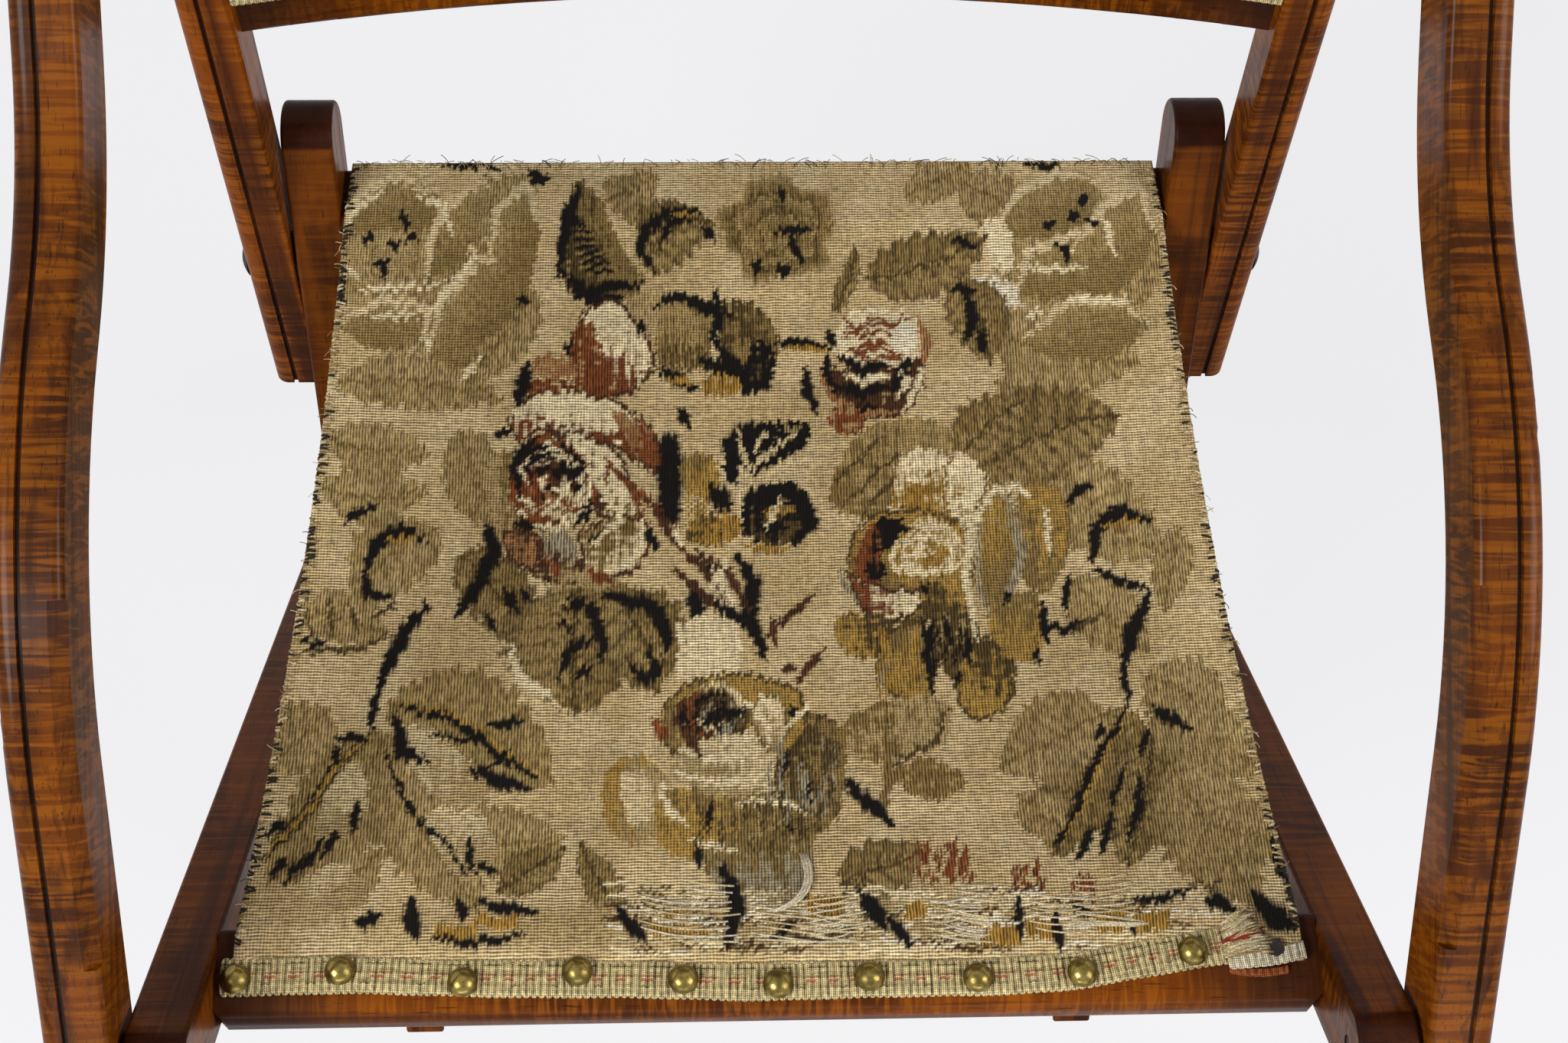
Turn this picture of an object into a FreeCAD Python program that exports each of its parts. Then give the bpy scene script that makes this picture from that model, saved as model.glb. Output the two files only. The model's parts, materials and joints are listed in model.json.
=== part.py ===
import FreeCAD, Part
import math
import os

# Folding X-frame armchair with a tapestry sling seat and an upholstered back.
# The chair faces -Y and +Z is up. The floor is z = 0 and x = 0 is the plane of symmetry.
# A "place" is a (y, z) pair in the side plane, and a slope is in degrees from +Y towards +Z.

os.makedirs("parts", exist_ok=True)
V = FreeCAD.Vector

# Boards
seat_width = 400.0  # clear width between the outer legs
board = 21.5  # thickness of legs and stiles
arm_board = 23.0
layer_gap = 1.5  # between boards that turn on one another
leg_depth = 31.0
stile_depth = 25.0
arm_depth = 33.0
edge_round = 3.0
leg_round = 1.5  # edges of legs, and inner edges of stiles
show_round = 6.0  # outer edge of arms and stiles

# Crossed legs
pivot_height = 264.0
inner_slope = 58.5
outer_slope = 45.8
inner_reach = 253.5  # scissor pivot to the centre of the inner leg's round top
arm_reach = 367.0  # scissor pivot to the arm's pivot, along the outer leg
back_reach = 195.0  # scissor pivot to the back's pivot, along the inner leg

# Seat rails and stretchers
rail_height = 20.0
rail_nose = 8.0  # round of the front rail's front edges
rail_corner = 4.0  # cut off the front rail's front end corners
front_rail_depth = 34.0
rear_rail_depth = 30.0
front_rail_reach = 320.0
rear_rail_reach = 218.0
stretcher_diameter = 20.0
inner_stretcher_reach = 238.0
outer_stretcher_reach = 290.0
front_tenon_diameter = 10.0
rail_tenon_diameter = 12.0
tenon_length = 14.0

# Back
recline = 13.2
stile_tail = 76.0  # below the back's pivot
stile_top = 574.0  # above the back's pivot
back_bow = 20.0  # rails curve backwards by this much
back_rail_setback = 8.0
back_rail_thick = 14.0
lower_rail_foot = 137.0
lower_rail_height = 45.0
crest_foot = 486.0
crest_height = 58.0
crest_arch = 16.0
back_tenon_diameter = 9.0
panel_thick = 5.0
panel_reveal = 20.5  # wood left bare below the cover
crest_reveal = 20.0
lining_thick = 1.2

# Arms, from the front pivot to the rear
arm_rise = 41.5
front_run = 110.0
knee_radius = 198.0
level_run = 12.0
sweep_radius = 164.0
sweep_turn = 30.0
arm_tail = 12.0
chamfer = 5.0
chamfer_run = 62.0
chamfer_turn = 18.0
groove_width = 2.0
groove_depth = 1.6
arm_groove_inset = 13.0  # from the arm's inner face
stile_groove_inset = 9.3  # from the stile's outer face

# Fasteners
rivet_diameter = 8.0
rivet_head_diameter = 17.0
rivet_head_height = 3.0
arm_rivet_diameter = 6.0
arm_rivet_head_diameter = 14.0
rivet_end_inset = 0.5
washer_diameter = 22.0
rove_diameter = 15.0
rove_thick = 1.5
stud_diameter = 9.0
stud_head_diameter = 17.0
stud_depth = 14.0  # in the stile
notch_slope = 260.0  # the arm lifts off its stud the other way
notch_clearance = 0.6
turn_clearance = 0.05  # round a pin
run_clearance = 0.3  # between pieces that move on one another

# Cloth
cloth_thick = 1.6
under_thick = 1.0
cloth_front_gap = 6.0  # from the cloth's side edge to the outer leg, at the front
cloth_rear_gap = 3.5  # from the cloth's side edge to the inner leg, at the rear
cloth_waist = 2.0  # the side edges draw in by this much
edge_sag = 11.0
middle_sag = 19.0
sag_steps = 8
cloth_reveal = 14.8  # wood left bare in front of the cloth
gimp_back = 15.0  # from the rail's front face to the line that the gimp wanders about
gimp_width = 14.0
gimp_thick = 3.6
back_gimp_width = 12.0
back_gimp_thick = 2.0
tack_diameter = 11.0
tack_height = 4.2
tack_shank_diameter = 2.0
tack_shank_length = 11.0
iron_tack_diameter = 6.5
iron_tack_height = 1.0
hem_tack_diameter = 5.0
hem_tack_height = 1.0
hem_tacks = 9
hem_tack_margin = 14.0
# Laid by hand: places across the rail, as shares of its half length, and back from the gimp's line
gimp_path = [(-0.9875, 0), (-0.775, 0.5), (-0.5, -1.8), (-0.25, -2.8), (-0.05, -4.6), (0.13, -4.2), (0.41, -4),
             (0.56, -2.4), (0.685, 2), (0.775, 4.5), (0.89, 9)]
brass_tacks = [(-0.96, -1), (-0.775, 1.6), (-0.555, -3.5), (-0.35, -0.1), (-0.16, -3.7), (0.01, -5.9),
               (0.175, -3.7), (0.37, -4.8), (0.56, -3.6), (0.765, 3.8)]
iron_tack = (0.915, 4.3)

# Layers, from the middle outwards
outer_in = seat_width / 2
outer_out = outer_in + board
inner_out = outer_in - layer_gap
inner_in = inner_out - board
arm_in = outer_out + layer_gap
arm_out = arm_in + arm_board
washer_thick = layer_gap - run_clearance
cloth_front_half = outer_in - cloth_front_gap
cloth_rear_half = inner_in - cloth_rear_gap


def cosd(angle):
    return math.cos(math.radians(angle))


def sind(angle):
    return math.sin(math.radians(angle))


def along(place, slope, distance, offset=0.0):
    """The place a distance along a line, and an offset to the line's left."""
    return (place[0] + distance * cosd(slope) - offset * sind(slope),
            place[1] + distance * sind(slope) + offset * cosd(slope))


def at(x, place):
    return V(x, place[0], place[1])


def line(x, start, end):
    return Part.LineSegment(at(x, start), at(x, end)).toShape()


def arc(x, start, middle, end):
    return Part.Arc(at(x, start), at(x, middle), at(x, end)).toShape()


def slab(edges, thickness):
    """Closed side-plane edges, made solid towards +X."""
    wire = Part.Wire(Part.__sortEdges__(edges))
    return Part.Face(wire).extrude(V(thickness, 0, 0))


def cross_pin(place, x_start, x_end, diameter):
    return Part.makeCylinder(diameter / 2, x_end - x_start, at(x_start, place), V(1, 0, 0))


def ring(place, x_start, thickness, bore, diameter):
    return cross_pin(place, x_start, x_start + thickness, diameter).cut(
        cross_pin(place, x_start, x_start + thickness, bore))


def dome(diameter, height):
    """A domed cap that stands on z = 0."""
    radius = (diameter * diameter / 4 + height * height) / (2 * height)
    ball = Part.makeSphere(radius, V(0, 0, height - radius))
    return ball.common(Part.makeCylinder(diameter / 2, height))


def side_dome(place, x, diameter, height):
    """A domed cap that stands out towards +X."""
    cap = dome(diameter, height)
    cap.rotate(V(0, 0, 0), V(0, 1, 0), 90)
    cap.translate(at(x, place))
    return cap


def mirrored(shape):
    return shape.mirror(V(0, 0, 0), V(1, 0, 0))


def both(shape):
    """The right-hand solid and its left-hand twin, as one group."""
    return Part.makeCompound([shape, mirrored(shape)])


def save(name, shape):
    shape.exportStep("parts/%s.step" % name)


def save_pair(name, shape):
    save(name + "_right", shape)
    save(name + "_left", mirrored(shape))


def side_edges(shape, x, bare):
    """Edges that lie in the plane at x, apart from those that the test calls bare."""
    found = []
    for edge in shape.Edges:
        box = edge.BoundBox
        if abs(box.XMin - x) < 0.01 and abs(box.XMax - x) < 0.01 and not bare(edge):
            found.append(edge)
    return found


def eased(shape, x, radius, bare):
    return shape.makeFillet(radius, side_edges(shape, x, bare))


def bar(x_start, x_end, start, slope, length, depth):
    """A board from a square start to a round end, whose centre is at the length."""
    half = depth / 2
    end = along(start, slope, length)
    edges = [line(x_start, along(start, slope, 0, half), along(start, slope, length, half)),
             arc(x_start, along(end, slope, 0, half), along(end, slope, half), along(end, slope, 0, -half)),
             line(x_start, along(end, slope, 0, -half), along(start, slope, 0, -half)),
             line(x_start, along(start, slope, 0, -half), along(start, slope, 0, half))]
    return slab(edges, x_end - x_start)


# Main places: the model is centred on its length, from the arm's front end to the rear foot
front_end = arm_reach * cosd(outer_slope) + max(leg_depth, arm_depth) / 2
rear_end = pivot_height / math.tan(math.radians(outer_slope)) + leg_depth / 2 / sind(outer_slope)
outer_up = 180 - outer_slope
stile_slope = 90 - recline
scissor_pivot = ((front_end - rear_end) / 2, pivot_height)
arm_pivot = along(scissor_pivot, outer_up, arm_reach)
back_pivot = along(scissor_pivot, inner_slope, back_reach)
front_rail = along(scissor_pivot, outer_up, front_rail_reach)
rear_rail = along(scissor_pivot, inner_slope, rear_rail_reach)
inner_stretcher = along(scissor_pivot, inner_slope, -inner_stretcher_reach)
outer_stretcher = along(scissor_pivot, outer_up, -outer_stretcher_reach)
seat_length = math.hypot(rear_rail[0] - front_rail[0], rear_rail[1] - front_rail[1])
seat_slope = math.degrees(math.atan2(rear_rail[1] - front_rail[1], rear_rail[0] - front_rail[0]))


def arm_steps(rear_run):
    """The arm's line: straight runs, and bends as a radius with its turn to the left."""
    return [(front_run, None), (knee_radius, -arm_rise), (level_run, None), (sweep_radius, sweep_turn),
            (rear_run, None)]


def walk(place, heading, steps, offset, x):
    """Edges along the steps, moved to the left by an offset, with the last place and heading."""
    edges = []
    for size, turn in steps:
        if turn is None:
            end = along(place, heading, size)
            edges.append(line(x, along(place, heading, 0, offset), along(end, heading, 0, offset)))
            place = end
            continue
        side = math.copysign(size, turn)
        centre = along(place, heading, 0, side)
        points = [along(centre, heading + turn * share, 0, offset - side) for share in (0, 0.5, 1)]
        edges.append(arc(x, *points))
        heading += turn
        place = along(centre, heading, 0, -side)
    return edges, place, heading


# The arm's last run ends where it crosses the stile's line
bend_end, rear_rise = walk(arm_pivot, arm_rise, arm_steps(0)[:-1], 0, 0)[1:]
gap_y = back_pivot[0] - bend_end[0]
gap_z = back_pivot[1] - bend_end[1]
rear_run = ((gap_y * sind(stile_slope) - gap_z * cosd(stile_slope))
            / (cosd(rear_rise) * sind(stile_slope) - sind(rear_rise) * cosd(stile_slope)))
stud_place = along(bend_end, rear_rise, rear_run)


def arm_band(start, steps, low, high, x):
    """Closed edges of the strip between two offsets from the arm's line."""
    lower, end, heading = walk(start, arm_rise, steps, low, x)
    upper = walk(start, arm_rise, steps, high, x)[0]
    front = line(x, along(start, arm_rise, 0, low), along(start, arm_rise, 0, high))
    rear = line(x, along(end, heading, 0, low), along(end, heading, 0, high))
    return lower + upper + [front, rear]


def make_arm():
    half = arm_depth / 2
    steps = arm_steps(rear_run + arm_tail)
    upper, end, heading = walk(arm_pivot, arm_rise, steps, half, arm_in)
    lower = walk(arm_pivot, arm_rise, steps, -half, arm_in)[0]
    rear_cap = arc(arm_in, along(end, heading, 0, half), along(end, heading, half), along(end, heading, 0, -half))
    front_cap = arc(arm_in, along(arm_pivot, arm_rise, 0, half), along(arm_pivot, arm_rise, -half),
                    along(arm_pivot, arm_rise, 0, -half))
    arm = slab(upper + lower + [rear_cap, front_cap], arm_board)
    arm = eased(arm, arm_out, show_round, lambda edge: False)
    arm = eased(arm, arm_in, edge_round, lambda edge: False)
    groove = arm_band(arm_pivot, steps, half - groove_depth, half + groove_depth, arm_in + arm_groove_inset)
    arm = arm.cut(slab(groove, groove_width))
    # Stopped chamfer on the inner top edge
    start = along(arm_pivot, arm_rise, front_run - chamfer_run)
    chamfer_steps = [(chamfer_run, None), (knee_radius, -chamfer_turn)]
    deep = arm_band(start, chamfer_steps, half - chamfer - run_clearance, half + chamfer, arm_in - run_clearance)
    shallow = arm_band(start, chamfer_steps, half, half + chamfer, arm_in + chamfer)
    wires = [Part.Wire(Part.__sortEdges__(edges)) for edges in (deep, shallow)]
    arm = arm.cut(Part.makeLoft(wires, True, True))
    arm = arm.cut(cross_pin(arm_pivot, arm_in, arm_out, arm_rivet_diameter + 2 * turn_clearance))
    notch_start = along(stud_place, notch_slope, arm_depth)
    notch = bar(arm_in, arm_out, notch_start, notch_slope - 180, arm_depth, stud_diameter + 2 * notch_clearance)
    return arm.cut(notch)


def on_floor(edge):
    return edge.BoundBox.ZMax < 0.01


def make_leg(x_start, slope, reach, x_holes):
    """A leg from the floor through the scissor pivot to its round top."""
    below = (pivot_height + leg_depth) / sind(slope)
    leg = bar(x_start, x_start + board, along(scissor_pivot, slope, -below), slope, below + reach, leg_depth)
    floor_size = 4 * below
    leg = leg.cut(Part.makeBox(floor_size, floor_size, floor_size,
                               V(-floor_size / 2, -floor_size / 2, -floor_size)))
    for x in (x_start, x_start + board):
        leg = eased(leg, x, leg_round, on_floor)
    for place, x_from, x_to, diameter in x_holes:
        leg = leg.cut(cross_pin(place, x_from, x_to, diameter + 2 * turn_clearance))
    return leg


def make_stile():
    start = along(back_pivot, stile_slope, -stile_tail)
    half = stile_depth / 2
    stile = bar(outer_in, outer_out, start, stile_slope, stile_tail + stile_top - half, stile_depth)
    low_end = along(start, stile_slope, 0, half)[1]

    def on_tail(edge):
        return edge.BoundBox.ZMax < low_end + 0.01

    stile = eased(stile, outer_out, show_round, on_tail)
    stile = eased(stile, outer_in, leg_round, on_tail)
    groove = bar(outer_out - stile_groove_inset - groove_width / 2, outer_out - stile_groove_inset
                 + groove_width / 2, along(start, stile_slope, -stile_depth, half), stile_slope,
                 stile_depth + stile_tail + stile_top - half, 2 * groove_depth)
    stile = stile.cut(groove)
    stile = stile.cut(cross_pin(back_pivot, outer_in, outer_out, rivet_diameter + 2 * turn_clearance))
    for height in (lower_rail_middle, crest_middle):
        socket = cross_pin((back_rail_middle, height), outer_in, outer_in + tenon_length + run_clearance,
                           back_tenon_diameter + 2 * turn_clearance)
        stile = stile.cut(in_back(socket))
    return stile.cut(cross_pin(stud_place, outer_out - stud_depth - run_clearance, outer_out,
                               stud_diameter + 2 * turn_clearance))


def in_back(shape):
    """Moves a shape from the back's own frame: z up the stile from its pivot, y backwards."""
    placed = shape.copy()
    placed.rotate(V(0, 0, 0), V(1, 0, 0), -recline)
    placed.translate(at(0, back_pivot))
    return placed


back_rail_front = back_rail_setback - stile_depth / 2
back_rail_middle = back_rail_front + back_rail_thick / 2
lower_rail_middle = lower_rail_foot + lower_rail_height / 2
crest_middle = crest_foot + crest_height / 2
bow_radius = (outer_in ** 2 + back_bow ** 2) / (2 * back_bow)


def bow(x):
    """How far the back's curve lies behind its ends."""
    return math.sqrt(bow_radius ** 2 - x ** 2) - bow_radius + back_bow


def bowed(half, front, thick, foot, height):
    """A strip that follows the back's bow, in the back's own frame."""
    edges = []
    for depth in (front, front + thick):
        points = [V(x, depth + bow(x), foot) for x in (-half, 0, half)]
        edges.append(Part.Arc(*points).toShape())
    for x in (-half, half):
        edges.append(Part.LineSegment(V(x, front + bow(x), foot), V(x, front + thick + bow(x), foot)).toShape())
    return Part.Face(Part.Wire(Part.__sortEdges__(edges))).extrude(V(0, 0, height))


def with_tenons(rail, height):
    """A back rail with a round tenon at each end."""
    for x in (outer_in, -outer_in - tenon_length):
        rail = rail.fuse(cross_pin((back_rail_middle, height), x, x + tenon_length, back_tenon_diameter))
    return rail


def long_edges(shape, length):
    return [edge for edge in shape.Edges if edge.BoundBox.XLength > length]


def make_lower_rail():
    rail = bowed(outer_in, back_rail_front, back_rail_thick, lower_rail_foot, lower_rail_height)
    rail = rail.makeFillet(edge_round, long_edges(rail, outer_in))
    return with_tenons(rail, lower_rail_middle)


def crest_outline():
    """The crest's face: a flat foot and a top that arches up in the middle."""
    top = crest_foot + crest_height
    corners = [V(-outer_in, 0, crest_foot), V(outer_in, 0, crest_foot), V(outer_in, 0, top), V(-outer_in, 0, top)]
    edges = [Part.LineSegment(corners[0], corners[1]).toShape(),
             Part.LineSegment(corners[1], corners[2]).toShape(),
             Part.Arc(corners[2], V(0, 0, top + crest_arch), corners[3]).toShape(),
             Part.LineSegment(corners[3], corners[0]).toShape()]
    return Part.Face(Part.Wire(edges))


def make_crest():
    depth = 2 * (back_bow + stile_depth)
    shape = bowed(outer_in, back_rail_front, back_rail_thick, crest_foot, crest_height + crest_arch)
    outline = crest_outline().extrude(V(0, depth, 0))
    outline.translate(V(0, -depth / 2, 0))
    crest = shape.common(outline)
    crest = crest.makeFillet(edge_round, long_edges(crest, outer_in))
    return with_tenons(crest, crest_middle)


def in_seat(shape):
    """Moves a shape from the seat's own frame: y from the front rail to the rear, z off the cloth."""
    placed = shape.copy()
    placed.rotate(V(0, 0, 0), V(1, 0, 0), seat_slope)
    placed.translate(at(0, front_rail))
    return placed


def seat_rail(half, depth, middle, tenon_diameter, nose):
    """A rail with eased long edges and a round tenon at each end, in the seat's frame."""
    rail = Part.makeBox(2 * half, depth, rail_height, V(-half, middle - depth / 2, -rail_height / 2))
    for radius, behind in ((nose, False), (edge_round, True)):
        edges = [edge for edge in long_edges(rail, half) if (edge.CenterOfMass.y > middle) == behind]
        rail = rail.makeFillet(radius, edges)
    tenons = cross_pin((middle, 0), -half - tenon_length, half + tenon_length, tenon_diameter)
    return rail.fuse(tenons).removeSplitter()


def stretcher(place, half):
    rod = cross_pin(place, -half, half, stretcher_diameter)
    return rod.fuse(cross_pin(place, -half - tenon_length, half + tenon_length, rail_tenon_diameter))


# The sling in the seat's frame: it lies on both rails and sags between them
gimp_middle = -front_rail_depth / 2 + gimp_back
gimp_top = rail_height / 2 + gimp_thick
under_low = rail_height / 2 + run_clearance
cloth_low = under_low + under_thick + run_clearance
iron_seat = cloth_low + cloth_thick + run_clearance
cloth_front = -front_rail_depth / 2 + cloth_reveal
cloth_rear = seat_length + rear_rail_depth / 2
sag_start = front_rail_depth / 2
sag_end = seat_length - rear_rail_depth / 2


def sling_section(y, low, thick):
    """One cross section of the sling, whose middle hangs below its edges."""
    share = min(max((y - sag_start) / (sag_end - sag_start), 0), 1)
    dip = 4 * share * (1 - share)
    reach = (y - cloth_front) / (cloth_rear - cloth_front)
    half = cloth_front_half + (cloth_rear_half - cloth_front_half) * reach - cloth_waist * dip
    edges = []
    for z in (low, low + thick):
        ends = [V(x, y, z - edge_sag * dip) for x in (-half, half)]
        middle = V(0, y, z - middle_sag * dip)
        if dip > 0:
            edges.append(Part.Arc(ends[0], middle, ends[1]).toShape())
        else:
            edges.append(Part.LineSegment(ends[0], ends[1]).toShape())
    for x in (-half, half):
        low_end = V(x, y, low - edge_sag * dip)
        edges.append(Part.LineSegment(low_end, low_end + V(0, 0, thick)).toShape())
    return Part.Wire(Part.__sortEdges__(edges))


def gimp_edge(side, clearance):
    """Points along the gimp's front (-1) or rear (1) edge, moved out by a clearance."""
    reach = side * (gimp_width / 2 + clearance)
    return [V(share * outer_in, gimp_middle + back + reach, rail_height / 2) for share, back in gimp_path]


def prism(points, height):
    return Part.Face(Part.makePolygon(points + points[:1])).extrude(V(0, 0, height))


def tack_bore(place, seat):
    low = seat - tack_shank_length - run_clearance
    return Part.makeCylinder(tack_shank_diameter / 2 + turn_clearance, 2 * tack_shank_length,
                             V(place[0] * outer_in, gimp_middle + place[1], low))


def with_bores(shape):
    """A piece of the seat's front with a bore for each tack's shank."""
    for place in brass_tacks:
        shape = shape.cut(tack_bore(place, gimp_top))
    return shape.cut(tack_bore(iron_tack, iron_seat))


def make_gimp():
    outline = gimp_edge(-1, 0) + gimp_edge(1, 0)[::-1]
    return with_bores(prism(outline, gimp_thick))


def make_sling(low, thick):
    """The cloth between its hems, cut to the gimp's rear edge."""
    inner = [sag_start + (sag_end - sag_start) * step / sag_steps for step in range(sag_steps + 1)]
    stations = [cloth_front] + inner + [cloth_rear]
    cloth = Part.makeLoft([sling_section(y, low, thick) for y in stations], True, True)
    rear = gimp_edge(1, run_clearance)
    start = V(-outer_in, rear[0].y, rail_height / 2)
    end = rear[-1] + V(run_clearance, 0, 0)
    ahead = V(0, -front_rail_depth - gimp_width, 0)
    front = [start] + rear + [end, end + ahead, start + ahead]
    return with_bores(cloth.cut(prism(front, rail_height)))


def tack(head, place, seat):
    """A tack through the seat's front into the rail, under a head that stands on z = 0."""
    shank = Part.makeCylinder(tack_shank_diameter / 2, tack_shank_length, V(0, 0, -tack_shank_length))
    whole = head.fuse(shank)
    whole.translate(V(place[0] * outer_in, gimp_middle + place[1], seat))
    return whole


def hem_places():
    """Middles of the hidden tacks that hold the cloth to the rear rail's back."""
    half = cloth_rear_half - hem_tack_margin
    return [-half + 2 * half * step / (hem_tacks - 1) for step in range(hem_tacks)]


def hem_pin(x, diameter, start, end):
    return Part.makeCylinder(diameter / 2, end - start, V(x, start, 0), V(0, 1, 0))


def make_hem_tacks():
    face = seat_length + rear_rail_depth / 2
    tacks = []
    for x in hem_places():
        head = hem_pin(x, hem_tack_diameter, face, face + hem_tack_height)
        tacks.append(head.fuse(hem_pin(x, tack_shank_diameter, face - tack_shank_length, face)))
    return tacks


def make_rear_rail():
    rail = seat_rail(inner_in, rear_rail_depth, seat_length, rail_tenon_diameter, edge_round)
    face = seat_length + rear_rail_depth / 2
    for x in hem_places():
        rail = rail.cut(hem_pin(x, tack_shank_diameter + 2 * turn_clearance,
                                face - tack_shank_length - run_clearance, face))
    return rail


def make_front_rail():
    rail = seat_rail(outer_in, front_rail_depth, 0, front_tenon_diameter, rail_nose)
    for side in (-1, 1):
        corner = V(side * outer_in, -front_rail_depth / 2, -rail_height)
        wedge = [corner, corner + V(-side * rail_corner, 0, 0), corner + V(0, rail_corner, 0)]
        rail = rail.cut(prism(wedge, 2 * rail_height))
    return with_bores(rail)


def rivet(place, x_start, x_face, diameter, head_diameter, head_height):
    shank = cross_pin(place, x_start, x_face, diameter)
    return shank.fuse(side_dome(place, x_face, head_diameter, head_height))


def tenon_hole(place, x_face, diameter):
    return (place, x_face, x_face + tenon_length + run_clearance, diameter)


# Legs
save_pair("inner_leg", make_leg(inner_in, inner_slope, inner_reach, [
    (scissor_pivot, inner_in, inner_out, rivet_diameter),
    (back_pivot, inner_in, inner_out, rivet_diameter),
    tenon_hole(rear_rail, inner_in, rail_tenon_diameter),
    tenon_hole(inner_stretcher, inner_in, rail_tenon_diameter)]))
save_pair("outer_leg", make_leg(outer_in, outer_up, arm_reach, [
    (scissor_pivot, outer_in, outer_out, rivet_diameter),
    (arm_pivot, outer_in, outer_out, arm_rivet_diameter),
    tenon_hole(front_rail, outer_in, front_tenon_diameter),
    tenon_hole(outer_stretcher, outer_in, rail_tenon_diameter)]))

# Rails and stretchers
save("front_seat_rail", in_seat(make_front_rail()))
save("rear_seat_rail", in_seat(make_rear_rail()))
save("inner_stretcher", stretcher(inner_stretcher, inner_in))
save("outer_stretcher", stretcher(outer_stretcher, outer_in))

# Back
save_pair("back_stile", make_stile())
save("back_lower_rail", in_back(make_lower_rail()))
save("back_crest_rail", in_back(make_crest()))
panel_half = outer_in - run_clearance
panel_foot = lower_rail_foot + panel_reveal
panel_height = crest_foot + crest_height - crest_reveal - panel_foot
panel_front = back_rail_front - run_clearance - panel_thick
save("back_panel", in_back(bowed(panel_half, panel_front, panel_thick, panel_foot, panel_height)))
lining_front = back_rail_front + back_rail_thick + run_clearance
save("back_lining", in_back(bowed(panel_half, lining_front, lining_thick, panel_foot, panel_height)))
gimp_front = panel_front - run_clearance - back_gimp_thick
strip = bowed(panel_half, gimp_front, back_gimp_thick, panel_foot, back_gimp_width)
save("back_gimp_lower", in_back(strip))
strip.translate(V(0, 0, panel_height - back_gimp_width))
save("back_gimp_upper", in_back(strip))
side_height = panel_height - 2 * back_gimp_width
strip = bowed(panel_half, gimp_front, back_gimp_thick, panel_foot + back_gimp_width, side_height)
keep = Part.makeBox(back_gimp_width, back_bow + 2 * back_gimp_thick, panel_height,
                    V(panel_half - back_gimp_width, gimp_front, panel_foot))
save_pair("back_gimp", in_back(strip.common(keep)))

# Arms
save_pair("arm", make_arm())
save_pair("arm_rivet", rivet(arm_pivot, outer_in + rivet_end_inset, arm_out, arm_rivet_diameter,
                             arm_rivet_head_diameter, rivet_head_height))
flange = cross_pin(stud_place, outer_out, outer_out + washer_thick, stud_head_diameter)
stud = rivet(stud_place, outer_out - stud_depth, arm_out + run_clearance, stud_diameter, stud_head_diameter,
             rivet_head_height)
save("arm_studs", both(stud.fuse(flange)))

# Pivots
for name, place in (("scissor", scissor_pivot), ("back", back_pivot)):
    pin = rivet(place, inner_in - rove_thick, outer_out + run_clearance, rivet_diameter, rivet_head_diameter,
                rivet_head_height)
    bore = rivet_diameter + 2 * turn_clearance
    save(name + "_rivets", both(pin))
    save(name + "_washers", both(ring(place, inner_out, washer_thick, bore, washer_diameter)))
    save(name + "_roves", both(ring(place, inner_in - rove_thick, rove_thick, bore, rove_diameter)))
save("arm_washers", both(ring(arm_pivot, outer_out, washer_thick, arm_rivet_diameter + 2 * turn_clearance,
                              washer_diameter)))

# Cloth and its trimming
save("seat_sling", in_seat(make_sling(cloth_low, cloth_thick)))
save("seat_undercloth", in_seat(make_sling(under_low, under_thick)))
save("seat_gimp", in_seat(make_gimp()))
brass_head = dome(tack_diameter, tack_height)
save("seat_tacks", in_seat(Part.makeCompound([tack(brass_head, place, gimp_top) for place in brass_tacks])))
iron_head = Part.makeCylinder(iron_tack_diameter / 2, iron_tack_height)
save("iron_tack", in_seat(tack(iron_head, iron_tack, iron_seat)))
save("hem_tacks", in_seat(Part.makeCompound(make_hem_tacks())))

for name, place in (("scissor pivot", scissor_pivot), ("back pivot", back_pivot), ("arm pivot", arm_pivot),
                    ("arm stud", stud_place), ("front rail", front_rail), ("rear rail", rear_rail)):
    print("%s at y %.3f z %.3f" % (name, *place))
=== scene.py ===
import json
import math
import random

import bpy
import numpy as np
from mathutils import Matrix, Vector


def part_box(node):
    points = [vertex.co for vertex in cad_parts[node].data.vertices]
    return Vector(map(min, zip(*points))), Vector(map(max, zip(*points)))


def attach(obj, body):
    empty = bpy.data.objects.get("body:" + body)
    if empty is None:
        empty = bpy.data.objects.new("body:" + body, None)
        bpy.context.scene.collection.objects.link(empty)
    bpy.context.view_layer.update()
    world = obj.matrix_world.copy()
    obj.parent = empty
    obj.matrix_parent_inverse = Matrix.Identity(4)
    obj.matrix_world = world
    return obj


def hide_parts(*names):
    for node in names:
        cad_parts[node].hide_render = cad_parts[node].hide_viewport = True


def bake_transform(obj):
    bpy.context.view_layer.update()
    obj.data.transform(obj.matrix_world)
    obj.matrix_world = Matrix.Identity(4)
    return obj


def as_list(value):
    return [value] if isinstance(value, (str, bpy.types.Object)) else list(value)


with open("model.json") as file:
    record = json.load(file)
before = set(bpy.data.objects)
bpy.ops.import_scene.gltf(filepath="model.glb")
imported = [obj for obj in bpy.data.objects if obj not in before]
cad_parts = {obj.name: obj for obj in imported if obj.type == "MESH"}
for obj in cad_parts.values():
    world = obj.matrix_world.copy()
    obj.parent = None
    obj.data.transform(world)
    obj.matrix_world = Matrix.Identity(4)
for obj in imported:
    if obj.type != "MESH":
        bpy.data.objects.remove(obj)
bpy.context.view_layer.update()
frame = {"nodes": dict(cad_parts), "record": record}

# A folding armchair with a worn rose and leaf tapestry seat, seen from above and in front.
random.seed(7)
dice = np.random.default_rng(7)
mm = 0.001

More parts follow.
